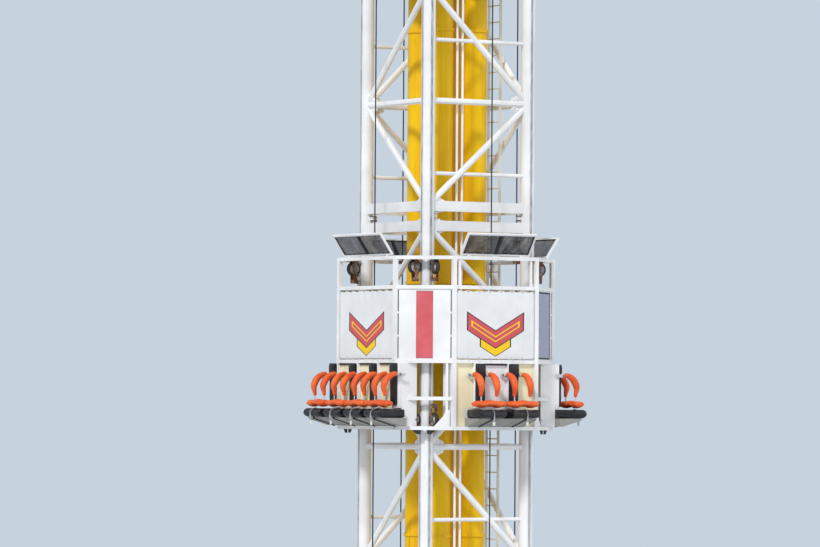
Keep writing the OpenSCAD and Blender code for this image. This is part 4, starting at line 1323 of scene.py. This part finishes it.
class RIDE_OT_stage(bpy.types.Operator):
    """Sets the floor, the plain ground behind, the lamps and the camera"""
    bl_idname = "ride.stage"
    bl_label = "Stage"

    def execute(self, context):
        scene = context.scene
        scene.view_settings.view_transform = "Standard"
        bm = bmesh.new()
        bmesh.ops.create_circle(bm, cap_ends=True, segments=96, radius=FLOOR_R)
        mesh = bpy.data.meshes.new("floor")
        bm.to_mesh(mesh)
        bm.free()
        floor = bpy.data.objects.new("floor", mesh)
        scene.collection.objects.link(floor)
        finish = Finish("floor", 0.9)
        finish.lay(finish.noise(0.4, 3), shade(214, 218, 221), shade(206, 210, 214))
        mesh.materials.append(FINISHES["floor"])

        world = bpy.data.worlds.new("studio")
        scene.world = world
        world.use_nodes = True
        tree = world.node_tree
        tree.nodes.clear()
        shown, lit = (tree.nodes.new("ShaderNodeBackground") for _ in range(2))
        shown.inputs["Color"].default_value = list(scene.ride_colours.backdrop)
        lit.inputs["Color"].default_value = (0.94, 0.97, 1.0, 1.0)
        lit.inputs["Strength"].default_value = 0.6
        out = tree.nodes.new("ShaderNodeOutputWorld")
        tree.links.new(camera_only(tree, shown.outputs[0], lit.outputs[0]), out.inputs["Surface"])

        for name, power, spread, azimuth, height in (
                ("key", 1.88, 8, -52, 38), ("fill", 0.55, 60, 50, 20)):
            lamp = bpy.data.lights.new(name, "SUN")
            lamp.energy, lamp.angle = power, math.radians(spread)
            obj = bpy.data.objects.new(name, lamp)
            obj.rotation_euler = toward(azimuth, height).to_track_quat("Z", "Y").to_euler()
            scene.collection.objects.link(obj)

        camera = bpy.data.cameras.new("camera")
        camera.lens, camera.sensor_width = CAMERA_LENS, 36
        camera.clip_start, camera.clip_end = 1, 1000
        obj = bpy.data.objects.new("camera", camera)
        obj.location = toward(CAMERA_AZIMUTH) * CAMERA_AWAY + Vector((0, 0, CAMERA_HEIGHT))
        obj.rotation_euler = (turned(CAMERA_AZIMUTH + CAMERA_YAW, "Z")
                              @ turned(90 + CAMERA_PITCH, "X")
                              @ turned(CAMERA_ROLL, "Z")).to_euler()
        scene.collection.objects.link(obj)
        scene.camera = obj
        return {"FINISHED"}


class RIDE_PT_sidebar(bpy.types.Panel):
    """Lists the ride's pieces, sizes and colours"""
    bl_label = "Drop Tower Ride"
    bl_idname = "RIDE_PT_sidebar"
    bl_space_type = "VIEW_3D"
    bl_region_type = "UI"
    bl_category = "Ride"

    def draw(self, context):
        for operator in OPERATORS:
            self.layout.operator(operator.bl_idname)
        for group in (context.scene.ride_sizes, context.scene.ride_colours):
            for name in group.__annotations__:
                self.layout.prop(group, name)


OPERATORS = (RIDE_OT_stage, RIDE_OT_finishes, RIDE_OT_ropes, RIDE_OT_wheels, RIDE_OT_seats,
             RIDE_OT_boards, RIDE_OT_harnesses, RIDE_OT_banners, RIDE_OT_corners, RIDE_OT_canopies,
             RIDE_OT_belts, RIDE_OT_bolts)
CLASSES = (RideColours, RideSizes, *OPERATORS, RIDE_PT_sidebar)


def register():
    for item in CLASSES:
        bpy.utils.register_class(item)
    bpy.types.Scene.ride_colours = PointerProperty(type=RideColours)
    bpy.types.Scene.ride_sizes = PointerProperty(type=RideSizes)


def unregister():
    del bpy.types.Scene.ride_sizes
    del bpy.types.Scene.ride_colours
    for item in reversed(CLASSES):
        bpy.utils.unregister_class(item)


def main():
    register()
    for operator in OPERATORS:
        group, name = operator.bl_idname.split(".")
        getattr(getattr(bpy.ops, group), name)()


if __name__ == "__main__":
    main()
